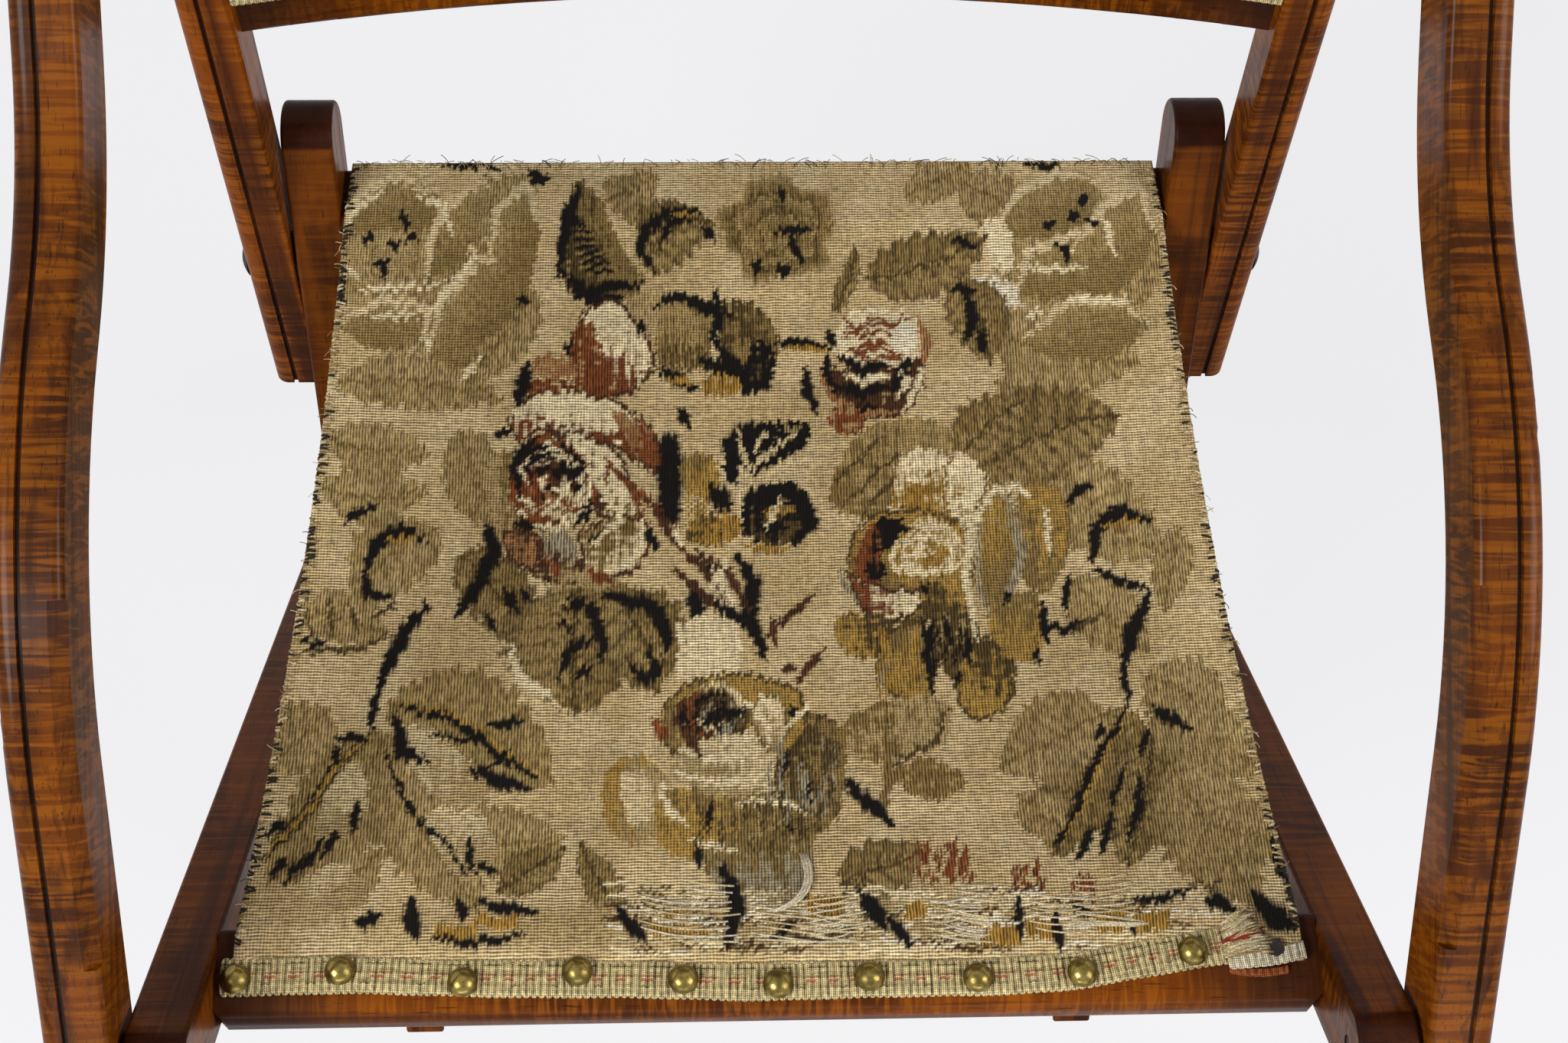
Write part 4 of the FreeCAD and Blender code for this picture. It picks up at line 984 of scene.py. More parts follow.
def lower_leaves(canvas):
    """Leaf sprays below the roses."""
    canvas.leaf((760, 766), (750, 934), 92, 6, olive, dark_olive, 8)
    canvas.leaf((796, 770), (856, 906), 62, -14, olive, dark_olive, 6)
    for points, width in (
            ([(743, 779), (774, 794), (787, 836), (785, 864)], 17),
            ([(731, 886), (744, 848), (776, 832)], 14), ([(754, 886), (772, 870)], 14),
            ([(790, 780), (850, 790), (872, 826), (868, 852)], 23),
            ([(822, 864), (842, 890), (860, 872), (846, 846)], 16), ([(734, 800), (758, 790)], 12),
            ([(730, 810), (748, 826)], 10)):
        canvas.stroke(points, width, ink)
    canvas.stroke([(668, 846), (678, 884), (730, 918)], 14, cream, 0.0)
    for x in range(888, 962, 12):
        canvas.stroke([(x, 806 + abs(x - 925) * 0.3), (x + 3, 850), (x, 888)], 10, cream, 0.0, 0.7)
    for base, tip, half, bend, shade in (
            ((430, 930), (344, 1006), 46, 0, tan), ((504, 960), (348, 1154), 62, -14, leaf_light),
            ((508, 918), (724, 1024), 70, -22, leaf_light), ((506, 986), (628, 1190), 58, 10, tan),
            ((590, 1086), (738, 1096), 46, 8, tan), ((650, 1160), (740, 1110), 28, 0, olive),
            ((806, 1196), (758, 1100), 24, 0, olive), ((420, 1180), (500, 1110), 34, 0, tan)):
        canvas.leaf(base, tip, half, bend, shade, dark_olive if shade is olive else olive, 9)
    for outline in (
            [(516, 960), (560, 950), (610, 990), (640, 1040), (590, 1050), (540, 1010)],
            [(440, 1010), (470, 1000), (480, 1050), (440, 1100), (410, 1090)],
            [(560, 1060), (620, 1060), (650, 1110), (610, 1150), (570, 1110)],
            [(400, 1150), (450, 1130), (480, 1170), (430, 1190)]):
        canvas.shape(outline, pale, 0.1, (outline[0], outline[3]), tan)
    for points in (
            [(524, 925), (590, 936), (640, 976), (702, 1016)],
            [(480, 962), (440, 1004), (398, 1064), (340, 1124)]):
        canvas.stroke(points, 16, ink)
        canvas.stroke([(x + 5, y - 6) for x, y in points], 7, gold)
    for points, width in (
            ([(517, 934), (524, 984), (556, 992)], 22), ([(640, 944), (684, 942)], 16),
            ([(616, 1006), (690, 1030)], 22), ([(436, 966), (480, 962)], 14),
            ([(502, 982), (536, 1060), (586, 1104), (612, 1142)], 9), ([(466, 1046), (462, 1090)], 13),
            ([(612, 1094), (616, 1138)], 12), ([(622, 1136), (650, 1134)], 13),
            ([(442, 1086), (420, 1124)], 12), ([(422, 1096), (394, 1140)], 12),
            ([(398, 1120), (370, 1152)], 12), ([(376, 1116), (354, 1150)], 11),
            ([(346, 1094), (374, 1072)], 12), ([(442, 974), (434, 1000)], 11),
            ([(560, 958), (620, 968)], 10), ([(640, 1000), (664, 976)], 9)):
        canvas.stroke(points, width, ink)
    canvas.shape([(1098, 966), (1110, 938), (1142, 920), (1176, 910), (1238, 914), (1242, 940),
                  (1226, 976), (1190, 988), (1160, 1002), (1122, 988)],
                 olive, 0.9, ((1110, 930), (1220, 980)), tan)
    canvas.shape([(1164, 1012), (1190, 994), (1226, 992), (1262, 1020), (1236, 1042), (1200, 1042)],
                 olive, 0.9)
    canvas.stroke([(1238, 922), (1220, 970), (1160, 1002)], 9, dark_olive)
    canvas.stroke([(1154, 970), (1162, 1010), (1152, 1060)], 16, olive)
    canvas.stroke([(1096, 1012), (1132, 1048), (1168, 1076)], 22, ink)
    canvas.leaf((1096, 1156), (1212, 1110), 38, 0, olive, dark_olive, 5)
    for place, reach in (((1236, 1124), (46, 38)), ((1346, 1146), (22, 26)), ((1418, 1160), (20, 24))):
        low = (place[0] - reach[0], place[1] - reach[1] * 0.8)
        high = (place[0] + reach[0] * 0.8, place[1] + reach[1] * 0.5)
        canvas.dashes(int(reach[0] * 1.1), low + high, 13, rust, 1.0)
    for base, tip, half, bend, shade in (
            ((1482, 926), (1376, 1120), 62, 12, olive), ((1446, 930), (1304, 1000), 56, 0, tan),
            ((1504, 960), (1470, 1130), 50, -8, olive), ((1496, 880), (1600, 960), 48, -10, tan),
            ((1500, 940), (1650, 1010), 48, -10, tan), ((1530, 1000), (1640, 1180), 66, 0, tan),
            ((1570, 1080), (1690, 1100), 34, 0, tan), ((1330, 1040), (1400, 1090), 30, 0, tan)):
        canvas.leaf(base, tip, half, bend, shade, dark_olive if shade is olive else olive, 9)
    for points, width in (
            ([(1470, 928), (1439, 976), (1404, 1066), (1378, 1104)], 14),
            ([(1505, 924), (1556, 954)], 18), ([(1490, 1010), (1486, 1056), (1474, 1094)], 14),
            ([(1454, 1060), (1438, 1114)], 14), ([(1428, 1080), (1408, 1126)], 13),
            ([(1440, 944), (1430, 964)], 12), ([(1498, 950), (1488, 982)], 11),
            ([(1470, 1000), (1450, 1050)], 10)):
        canvas.stroke(points, width, ink)
    canvas.stroke([(1478, 930), (1448, 972), (1414, 1058), (1390, 1094)], 7, gold)


def lower_rose(canvas):
    """The tan and cream rose above the worn band."""
    canvas.shape([(786, 1036), (802, 998), (836, 986), (866, 1008), (868, 1062), (846, 1098), (812, 1100),
                  (790, 1074)], tan, 0.5, ((870, 1050), (780, 1030)), gold)
    canvas.shape([(810, 1020), (834, 1004), (852, 1030), (846, 1070), (822, 1076)], pale, 0.1)
    canvas.shape([(858, 1046), (900, 1030), (960, 1040), (1020, 1036), (1062, 1060), (1058, 1112),
                  (1000, 1126), (930, 1124), (868, 1112)], olive, 0.9, ((980, 1040), (900, 1130)), gold)
    canvas.shape([(920, 1110), (980, 1086), (1050, 1084), (1064, 1140), (1042, 1178), (980, 1182),
                  (938, 1160)], olive, 0.9, ((990, 1090), (1000, 1190)), grey)
    canvas.shape([(996, 960), (1050, 930), (1100, 950), (1104, 1012), (1094, 1064), (1066, 1090),
                  (1030, 1070), (1006, 1016)], dark_olive, 0.9, ((1010, 1000), (1104, 1020)), olive)
    canvas.shape([(862, 940), (886, 902), (930, 884), (982, 882), (1036, 898), (1054, 934), (1040, 972),
                  (1010, 1000), (960, 1010), (900, 996), (866, 972)],
                 olive, 0.7, ((870, 990), (1010, 890)), gold, dark_olive)
    canvas.shape([(880, 1004), (900, 970), (950, 952), (1000, 958), (1012, 1000), (990, 1034),
                  (930, 1040)], tan, 0.2, ((930, 1040), (970, 960)), pale)
    canvas.shape([(880, 930), (906, 906), (946, 900), (978, 918), (976, 950), (930, 964), (890, 958)],
                 brown, 0.9, ((890, 960), (970, 910)), dark_olive)
    canvas.whorl((932, 932), 40, (ink, grey, brown, pale, ink, grey, rust, pale))
    canvas.shape([(984, 934), (996, 906), (1020, 912), (1030, 950), (1010, 980), (990, 966)], tan, 0.3,
                 ((980, 960), (1020, 920)), pale, olive)
    for points, width in (
            ([(968, 912), (1000, 940), (1004, 972)], 9), ([(990, 906), (1022, 936)], 9),
            ([(884, 980), (930, 992), (990, 984)], 10), ([(884, 1010), (940, 1024), (1010, 1010)], 11),
            ([(862, 1020), (872, 1060), (900, 1078)], 10), ([(940, 970), (990, 964)], 8),
            ([(1060, 920), (1030, 950)], 9), ([(900, 1096), (960, 1112)], 9),
            ([(960, 1050), (1020, 1044), (1056, 1066)], 8)):
        canvas.stroke(points, width, cream, 0.0)
    for points, width in (
            ([(922, 940), (950, 934), (974, 930)], 17), ([(1026, 980), (1024, 1010)], 11),
            ([(1054, 1018), (1058, 1050)], 15), ([(928, 1048), (926, 1084)], 10),
            ([(912, 1106), (914, 1132)], 13), ([(1034, 924), (1038, 938)], 12),
            ([(1030, 1080), (1038, 1088)], 10)):
        canvas.stroke(points, width, ink)
    canvas.stroke([(856, 940), (866, 966)], 18, rust)
    canvas.stroke([(884, 948), (906, 974), (914, 990)], 16, brown)
    canvas.dashes(22, (1000, 960, 1090, 1050), 26, grey, 1.0)
    canvas.dashes(20, (1046, 950, 1094, 1060), 26, dark_olive, 1.0)
    canvas.dashes(26, (880, 1040, 1056, 1104), 20, dark_olive, 1.0)
    canvas.dashes(16, (888, 916, 960, 948), 14, ink, 1.0)


def worn_front(canvas):
    """The band along the front rail, worn down to pale weft and a few bright patches."""
    canvas.patch((1010, 1206), (560, 44), tan, 0.1, -0.7, 0.5)
    for step in range(210):
        x, y = dice.uniform(780, 1580), dice.uniform(1156, 1244)
        run = dice.uniform(20, 70)
        shade = (dark_olive, cream, pale, bone, cream, brown, pale)[step % 7]
        middle = (x + run / 2, y + dice.uniform(-5, 5))
        end = (x + run, y + dice.uniform(-6, 6))
        canvas.stroke([(x, y), middle, end], 5, shade, 0.0, 0.8)
    for x, y, wide, tall in (
            (594, 1216, 27, 9), (648, 1203, 29, 8), (886, 1206, 36, 14), (1078, 1184, 25, 15),
            (1306, 1220, 28, 15), (1358, 1212, 18, 12), (1452, 1199, 19, 16), (1504, 1202, 23, 13),
            (1196, 1190, 14, 10)):
        inside = (np.abs(canvas.u - x) < wide) & (np.abs(canvas.v - y) < tall)
        canvas.cover(inside * 1.0, ochre, 1.0)
    for points, width in (
            ([(466, 1206), (496, 1196)], 22), ([(536, 1176), (540, 1226)], 26),
            ([(598, 1172), (606, 1200)], 18), ([(622, 1180), (664, 1184), (700, 1192)], 18),
            ([(562, 1224), (620, 1232), (684, 1218)], 13), ([(806, 1188), (842, 1230)], 22),
            ([(944, 1130), (962, 1180), (948, 1238)], 26), ([(1124, 1164), (1156, 1212)], 26),
            ([(1162, 1196), (1188, 1236)], 18), ([(1330, 1172), (1332, 1224)], 14),
            ([(1378, 1194), (1384, 1240)], 18), ([(1402, 1184), (1424, 1198)], 18),
            ([(1478, 1170), (1520, 1174), (1556, 1162)], 13), ([(1576, 1172), (1610, 1190)], 24),
            ([(1636, 1168), (1664, 1196), (1690, 1214)], 34), ([(900, 1196), (940, 1210)], 14),
            ([(1006, 1224), (1040, 1206)], 12), ([(1478, 1206), (1482, 1218)], 9),
            ([(1660, 1090), (1676, 1140), (1690, 1180)], 14)):
        canvas.stroke(points, width, ink)
    for points in (
            [(836, 1186), (870, 1206), (910, 1200), (950, 1212)],
            [(1270, 1222), (1300, 1200), (1330, 1206)]):
        canvas.stroke(points, 8, bone, 0.0)


def back_pattern(canvas):
    """The seat's flowers, turned over, with leaves to the cover's edges."""
    faded_ground(canvas)
    for base, tip, half in (
            ((420, 150), (560, 190), 36), ((700, 130), (840, 180), 40), ((1000, 190), (1110, 130), 36),
            ((1260, 140), (1400, 190), 40), ((1500, 170), (1620, 230), 40),
            ((400, 1290), (540, 1250), 34), ((760, 1250), (900, 1300), 40),
            ((1060, 1290), (1200, 1240), 38), ((1360, 1250), (1500, 1300), 40),
            ((1570, 330), (1660, 460), 44), ((1600, 560), (1560, 700), 40), ((370, 300), (400, 430), 36),
            ((380, 560), (350, 700), 34)):
        canvas.leaf(base, tip, half, 8, olive, dark_olive, 6)
    flowers(canvas)
    canvas.streak()


def mesh_piece(name, points, faces, material):
    mesh = bpy.data.meshes.new(name)
    mesh.from_pydata(points.tolist(), [], faces)
    mesh.polygons.foreach_set("use_smooth", [True] * len(mesh.polygons))
    mesh.materials.append(material)
    piece = bpy.data.objects.new(name, mesh)
    bpy.context.scene.collection.objects.link(piece)
    return piece


def stored(piece, name, kind, field, values):
    piece.data.attributes.new(name, kind, "POINT").data.foreach_set(field, values)


def bordered(values, border):
    """Values of a grid's points, then again those of its border."""
    return np.concatenate([values, values[border]])


def flat_places(across, along):
    return np.stack([across, along, np.zeros(len(across))], axis=1)


def painted(piece, colours, warp, weave):
    """Stores thread colours, warp share and weave places on a mesh."""
    stored(piece, "paint", "FLOAT_COLOR", "color", colours.ravel())
    stored(piece, "warp", "FLOAT", "value", warp)
    stored(piece, "weave", "FLOAT_VECTOR", "vector", weave.ravel())


def grid_faces(columns, rows):
    """Quads of a grid that is stored row by row."""
    index = np.arange(columns * rows).reshape(rows, columns)
    quads = np.stack([index[:-1, :-1], index[:-1, 1:], index[1:, 1:], index[1:, :-1]], axis=-1)
    return quads.reshape(-1, 4).tolist()


def rim(columns, rows):
    """Grid points round the border, in order."""
    index = np.arange(columns * rows).reshape(rows, columns)
    return np.concatenate([index[0, :-1], index[:-1, -1], index[-1, :0:-1], index[:0:-1, 0]])


def skirted(points, columns, rows, drop):
    """A grid's points and faces with its border turned down by a drop vector."""
    border = rim(columns, rows)
    low = points[border] + np.array(drop)[None, :]
    faces = grid_faces(columns, rows)
    count = len(border)
    for step in range(count):
        following = (step + 1) % count
        upper = (int(border[following]), int(border[step]))
        faces.append((*upper, len(points) + step, len(points) + following))
    return np.concatenate([points, low]), faces, border


# Seat sling
def gimp_line(x):
    """The gimp's middle line, back from the front rail's middle."""
    shares, backs = zip(*gimp_path)
    return gimp_back + np.interp(x, np.array(shares) * half_rail, np.array(backs) * mm)


gimp_end = gimp_path[-1][0] * half_rail
cloth_rear = seat_length + rail_rear_half
cloth_length = cloth_rear - cloth_front
cloth_top = rail_height / 2 + cloth_lift + cloth_thick


def dip(y):
    """Share of the sag, none on the rails and all of it half way between them."""
    share = np.clip((y - rail_front_half) / (seat_length - rail_rear_half - rail_front_half), 0, 1)
    return 4 * share * (1 - share)


def side_reach(y):
    """Half the sling's width, which tapers to the rear and has a slight waist."""
    taper = (rear_half - front_half) * (y - cloth_front) / cloth_length
    return front_half + taper - waist * dip(y)


def sag(y, share):
    """How far the cloth hangs down, at a share of its half width."""
    return dip(y) * (edge_sag + (middle_sag - edge_sag) * (1 - share ** 2))


def sling_points(columns, rows, height):
    """Grid across and along the sling, with its places in the seat's frame."""
    share, way = np.meshgrid(np.linspace(-1, 1, columns), np.linspace(0, 1, rows))
    share, way = share.ravel(), way.ravel()
    across = share * front_half
    start = np.where(across < gimp_end + clearance, gimp_line(across) + gimp_width / 2 - tuck, cloth_front)
    y = start + (cloth_rear - start) * way
    x = share * side_reach(y)
    pucker = 0.35 * mm * np.sin(x * 190) * np.exp(-(y - start) / (18 * mm))
    pressed = 1.5 * mm * np.exp(-((y - start) / (4 * mm)) ** 2) * (across < gimp_end)
    return x, y, height - sag(y, share) + (pucker - pressed) * (height > rail_height / 2 + cloth_lift)


seat_step = 0.8 * mm
columns = int(2 * front_half / seat_step) + 1
rows = int(cloth_length / seat_step) + 1
x, y, z = sling_points(columns, rows, cloth_top)
top = in_seat(x, y, z)
points, faces, border = skirted(top, columns, rows, -cloth_thick * np.array(seat_up))
sling = mesh_piece("seat_tapestry", points, faces, tapestry)
canvas = Canvas(*in_picture(top))
seat_pattern(canvas)
painted(sling, bordered(canvas.paint, border), bordered(canvas.warp, border),
        bordered(flat_places(x, y), border))
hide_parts("seat_sling")

# Under-cloth, coarse and plain
under_columns = 90
under_rows = 80
x, y, z = sling_points(under_columns, under_rows, rail_height / 2 + under_lift)
thickness = under_thick * np.array(seat_up)
points, faces, border = skirted(in_seat(x, y, z), under_columns, under_rows, thickness)
faces = [face[::-1] for face in faces]
undercloth = mesh_piece("seat_hessian", points, faces, cloth("hessian", 1.8 * mm, 0.6 * mm))
painted(undercloth, one_colour(hessian_brown, len(points)), np.full(len(points), 0.4),
        bordered(flat_places(x, y), border))
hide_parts("seat_undercloth")


# Loose threads: bound selvedges, the frayed rear edge, and the braid's unravelled end
def threads(name, paths, radius, tints):
    """Round threads along paths, as one piece."""
    sides = 5
    turn = np.linspace(0, math.tau, sides, endpoint=False)
    points, faces, paint = [], [], []
    for path, tint in zip(paths, tints):
        path = np.asarray(path)
        way = np.gradient(path, axis=0)
        aside = np.cross(way, (0.31, 0.52, 0.79))
        aside /= np.linalg.norm(aside, axis=1)[:, None]
        above = np.cross(aside, way)
        above /= np.linalg.norm(above, axis=1)[:, None]
        first = sum(len(ring) for ring in points)
        round_about = (np.cos(turn)[None, :, None] * aside[:, None, :]
                       + np.sin(turn)[None, :, None] * above[:, None, :])
        rings = path[:, None, :] + radius * round_about
        points.append(rings.reshape(-1, 3))
        paint.append(one_colour(tint, len(path) * sides))
        for step in range(len(path) - 1):
            for side in range(sides):
                low, high = first + step * sides, first + (step + 1) * sides
                following = (side + 1) % sides
                faces.append((low + side, low + following, high + following, high + side))
        faces.append(tuple(range(first + sides - 1, first - 1, -1)))
        faces.append(tuple(range(first + (len(path) - 1) * sides, first + len(path) * sides)))
    piece = mesh_piece(name, np.concatenate(points), faces, loose_thread)
    stored(piece, "paint", "FLOAT_COLOR", "color", np.concatenate(paint).ravel())
    return piece


def curved(controls, count=7):
    """A smooth path that starts and ends at the first and last of three control points."""
    t = np.linspace(0, 1, count)[:, None]
    start, middle, end = (np.array(point, float)[None, :] for point in controls)
    path = (1 - t) ** 2 * start + 2 * t * (1 - t) * middle + t ** 2 * end
    return in_seat(*path.T)


def selvedge_at(side, y):
    """Where the cloth's edge lies at one side, across and up."""
    return side * float(side_reach(y)), cloth_top - float(dip(y)) * edge_sag


stitches, stitch_tints = [], []
for side in (-1, 1):
    y = 10 * mm
    while y < cloth_rear - 3 * mm:
        edge, level = selvedge_at(side, y)
        inward = -side * random.uniform(1.2, 4.2) * mm
        lean = random.uniform(-1.2, 1.2) * mm
        above = (edge + inward, y + lean, level + 0.3 * mm)
        round_edge = (edge + side * 0.9 * mm, y, level + 0.9 * mm)
        below = (edge - side * 0.4 * mm, y - lean, level - 2.2 * mm)
        if random.random() < 0.82:
            stitches.append(curved([above, round_edge, below]))
            dark = random.random() < 0.42 + 0.34 * math.sin(y * 47 + side)
            stitch_tints.append(ink if dark else random.choice((cream, tan, ground)))
        y += random.uniform(0.9, 1.9) * mm
selvedge = threads("seat_selvedge_stitches", stitches, stitch_radius, stitch_tints)
hairs, hair_tints = [], []
for _ in range(rear_hairs):
    x = random.uniform(-0.98, 0.98) * rear_half
    out = random.choice((0.4, 0.4, 0.7, 0.7, 1, 3)) * random.uniform(0.4, 1.4) * mm
    drift = random.uniform(-7, 7) * mm
    root = (x, cloth_rear - random.uniform(1, 4) * mm, cloth_top + 0.1 * mm)
    bend = (x + drift * 0.3, cloth_rear + out * 0.4, cloth_top + random.uniform(0.3, 1.5) * mm)
    tip = (x + drift, cloth_rear + out, cloth_top + random.uniform(-1.5, 1.5) * mm)
    hairs.append(curved([root, bend, tip]))
    hair_tints.append(random.choice((cream, tan, tan, ground, olive, ink)))
for _ in range(side_hairs):
    y = random.uniform(20, 340) * mm
    side = random.choice((-1, 1))
    edge, level = selvedge_at(side, y)
    root = (edge - side * 2 * mm, y, level + 0.2 * mm)
    bend = (edge + side * 0.8 * mm, y + 1 * mm, level + 0.6 * mm)
    out = side * random.uniform(1, 3) * mm
    drift = random.uniform(-3, 3) * mm
    tip = (edge + out, y + drift, level - random.uniform(0, 1) * mm)
    hairs.append(curved([root, bend, tip]))
    hair_tints.append(random.choice((cream, tan, ochre, ink)))
frays = threads("seat_frayed_hairs", hairs, hair_radius, hair_tints)


def lying(places, rise):
    """A thread on the cloth along three picture places, which stands up by a rise in its middle."""
    sunk = -0.1 * mm
    controls = []
    for place, height in zip(places, (sunk, rise, sunk)):
        x, y = seat_place(*place, cloth_top)
        level = cloth_top - float(sag(y, x / float(side_reach(y))))
        controls.append((x, y, level + height))
    return curved(controls, 9)


# Rows of loose weft along the front braid, laid by picture places
weft_left, weft_right = 770, 1500
weft_top, weft_low = 1142, 1195
row_pitch = 9
braid_edge = 1230
braid_turn = 1390
braid_climb = 0.22
weft, weft_tints = [], []
for _ in range(weft_groups):
    left = random.uniform(weft_left, weft_right)
    first = random.uniform(weft_top, weft_low)
    run, sway, tilt = random.uniform(45, 95), random.uniform(-2, 12), random.uniform(-13, 13)
    for row in range(weft_rows):
        begin = left + random.uniform(-10, 10)
        lowest = braid_edge - braid_climb * max(0, begin + run - braid_turn)
        level = min(first + row_pitch * row, lowest)
        tail = min(level + tilt + random.uniform(-3, 3), lowest)
        middle = min(level + tilt / 2 + sway, lowest)
        places = [(begin, level), (begin + run / 2, middle), (begin + run, tail)]
        weft.append(lying(places, random.uniform(0.6, 2.0) * mm))
        weft_tints.append(random.choice((bone, bone, cream, cream, pale)))
loose_weft = threads("seat_loose_weft", weft, weft_radius, weft_tints)
loop_places = [(1050, 1108), (1074, 1176), (1006, 1190)]
strands = [lying([(across + shift, down) for across, down in loop_places], 3 * mm) for shift in (-4, 0, 4)]
loop = threads("seat_pulled_loop", strands, loop_radius, [bone] * len(strands))
for piece in (sling, undercloth, selvedge, frays, loose_weft, loop):
    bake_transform(piece)
for piece, trims in ((sling, [selvedge, frays, loose_weft, loop]), (undercloth, [])):
    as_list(trims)


# Braid: ribs across, looped edges, and coloured threads along it
# Each thread's middle and half width as shares of the braid's, its tint, run, gap and strength
braid_lines = ((0.10, 0.06, red_thread, 6 * mm, 3 * mm, 0.8),
               (-0.14, 0.06, red_thread, 4 * mm, 5 * mm, 0.75),
               (0.62, 0.045, ink, 7 * mm, 6 * mm, 0.9),
               (0.30, 0.04, green_thread, 5 * mm, 9 * mm, 0.6),
               (-0.5, 0.035, ink, 3 * mm, 14 * mm, 0.8))


def braid(name, body, nodes, length, width, thick, lift, base=braid_cream, lined=True):
    """A strip of gimp; lift gives world places from distances along, across and up."""
    step = 0.45 * mm
    rib = 2.7 * mm
    loop = 2.7 * mm
    long_count = int(length / step) + 1
    wide_count = int(width / step) + 1
    share, u = np.meshgrid(np.linspace(-1, 1, wide_count), np.linspace(0, length, long_count))
    share, u = share.ravel(), u.ravel()
    scallop = 0.86 + 0.15 * np.abs(np.sin(np.pi * u / loop)) ** 0.6
    scallop += 0.02 * np.sin(u * 210)
    scallop += 0.015 * np.sin(u * 71)
    v = share * width / 2 * scallop
    ribs = np.abs(np.cos(np.pi * u / rib + 0.25 * np.sin(u * 400)))
    edge = np.clip((1 - np.abs(share)) * 7, 0, 1) ** 0.5
    ridge = 0.12 * np.exp(-(share / 0.12) ** 2) + 0.1 * np.exp(-((np.abs(share) - 0.5) / 0.1) ** 2)
    height = thick * (0.4 + 0.45 * edge * ribs ** 0.7 + ridge * edge)
    count = len(u)
    points, faces, border = skirted(lift(u, v, height), wide_count, long_count, (0, 0, 0))
    points[count:] = lift(u[border], v[border], np.zeros(len(border)))
    strip = mesh_piece(name, points, faces, woven_tape)
    colour = one_colour(base, count)
    # Painted shade between the ribs: the colour is darker where the ribs dip
    shade = (0.5 + 0.5 * ribs ** 0.8)[:, None]
    colour[:, :3] *= shade * (0.92 + 0.08 * np.sin(u * 37 + 9 * share))[:, None]
    for middle, half, tint, run, gap, strength in braid_lines if lined else ():
        shown = np.mod(u + 3 * mm * np.sin(u * 55), run + gap) < run
        on = shown * (np.abs(share - middle) < half)
        colour += (np.array(tint) - colour) * (on * strength)[:, None]
    painted(strip, bordered(colour, border), np.full(len(points), 0.5), bordered(flat_places(u, v), border))
    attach(strip, body)
    if nodes:
        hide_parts(*nodes)


woven_end = gimp_end - unravelled
seat_x = np.linspace(gimp_path[0][0] * half_rail, woven_end, 400)
smoothing = 25
kernel = np.ones(smoothing) / smoothing
seat_y = np.convolve(np.pad(gimp_line(seat_x), smoothing // 2, mode="edge"), kernel, mode="valid")
seat_run = np.concatenate([[0], np.cumsum(np.hypot(np.diff(seat_x), np.diff(seat_y)))])


def on_seat(u, v, height):
    x = np.interp(u, seat_run, seat_x)
    y = np.interp(u, seat_run, seat_y)
    slope = np.arctan(np.interp(u, seat_run, np.gradient(seat_y, seat_x)))
    return in_seat(x - v * np.sin(slope), y + v * np.cos(slope), rail_height / 2 + height)


braid("seat_braid", "outer_frame", ["seat_gimp"], seat_run[-1], gimp_width, gimp_thick, on_seat)

# The braid's unravelled end fans out between picture places
fan_across, fan_across_step = 1622, 34
fan_down, fan_down_step = 1190, 52
ends, end_tints = [], []
braid_top = rail_height / 2 + gimp_thick * 0.7
for step in range(end_threads):
    share = step / (end_threads - 1)
    x = woven_end - random.uniform(0, 3) * mm
    y = float(gimp_line(woven_end)) + (0.95 - 1.8 * share) * gimp_width / 2
    across = fan_across + fan_across_step * share + random.uniform(-14, 10)
    low = fan_down + fan_down_step * share + random.uniform(-8, 8)
    far_x, far_y = seat_place(across, low, cloth_top)
    bend = ((x + far_x) / 2, (y + far_y) / 2 + random.uniform(-1, 2) * mm, cloth_top + 3.2 * mm)
    tip = (far_x, far_y, cloth_top + random.uniform(0.5, 2.2) * mm)
    ends.append(curved([(x, y, braid_top), bend, tip], 9))
    red = abs(share - 0.55) < 0.08 and random.random() < 0.6
    end_tints.append(red_thread if red else random.choice((braid_cream, braid_cream, cream, tan, bone)))
frayed_end = threads("seat_braid_frayed_end", ends, end_radius, end_tints)
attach(frayed_end, "outer_frame")


def strip_between(start, end, height, climb):
    """A lift for a short strip between two picture places, which may climb in its first third."""
    (x_start, y_start), (x_end, y_end) = seat_place(*start, height), seat_place(*end, height)
    length = math.hypot(x_end - x_start, y_end - y_start)
    way_x, way_y = (x_end - x_start) / length, (y_end - y_start) / length

    def lift(u, v, rise):
        bend = 1.2 * mm * np.sin(np.pi * u / length)
        level = height - climb * (1 - np.clip(3 * u / length, 0, 1))
        x = x_start + way_x * u - way_y * v
        y = y_start + way_y * u + way_x * v - bend
        return in_seat(x, y, level + rise)

    return length, lift


# A tape's end and a scrap of old braid at the front right corner
tape_length, tape_lift = strip_between((1606, 1252), (1704, 1240), cloth_top + 0.1 * mm, 2.6 * mm)
braid("seat_corner_tape", "outer_frame", [], tape_length, 6.5 * mm, 1.4 * mm, tape_lift, bone, lined=False)
scrap_length, scrap_lift = strip_between((1606, 1266), (1682, 1266), rail_height / 2, 0.0)
braid("seat_corner_scrap", "outer_frame", [], scrap_length, 3.2 * mm, 1.6 * mm, scrap_lift, scrap_rust,
      lined=False)

# Back cover, its lining and braids
bow_radius = (half_rail ** 2 + back_bow ** 2) / (2 * back_bow)


def bow(x):
    """How far the back curves backwards, least at its sides."""
    return np.sqrt(bow_radius ** 2 - x ** 2) - bow_radius + back_bow


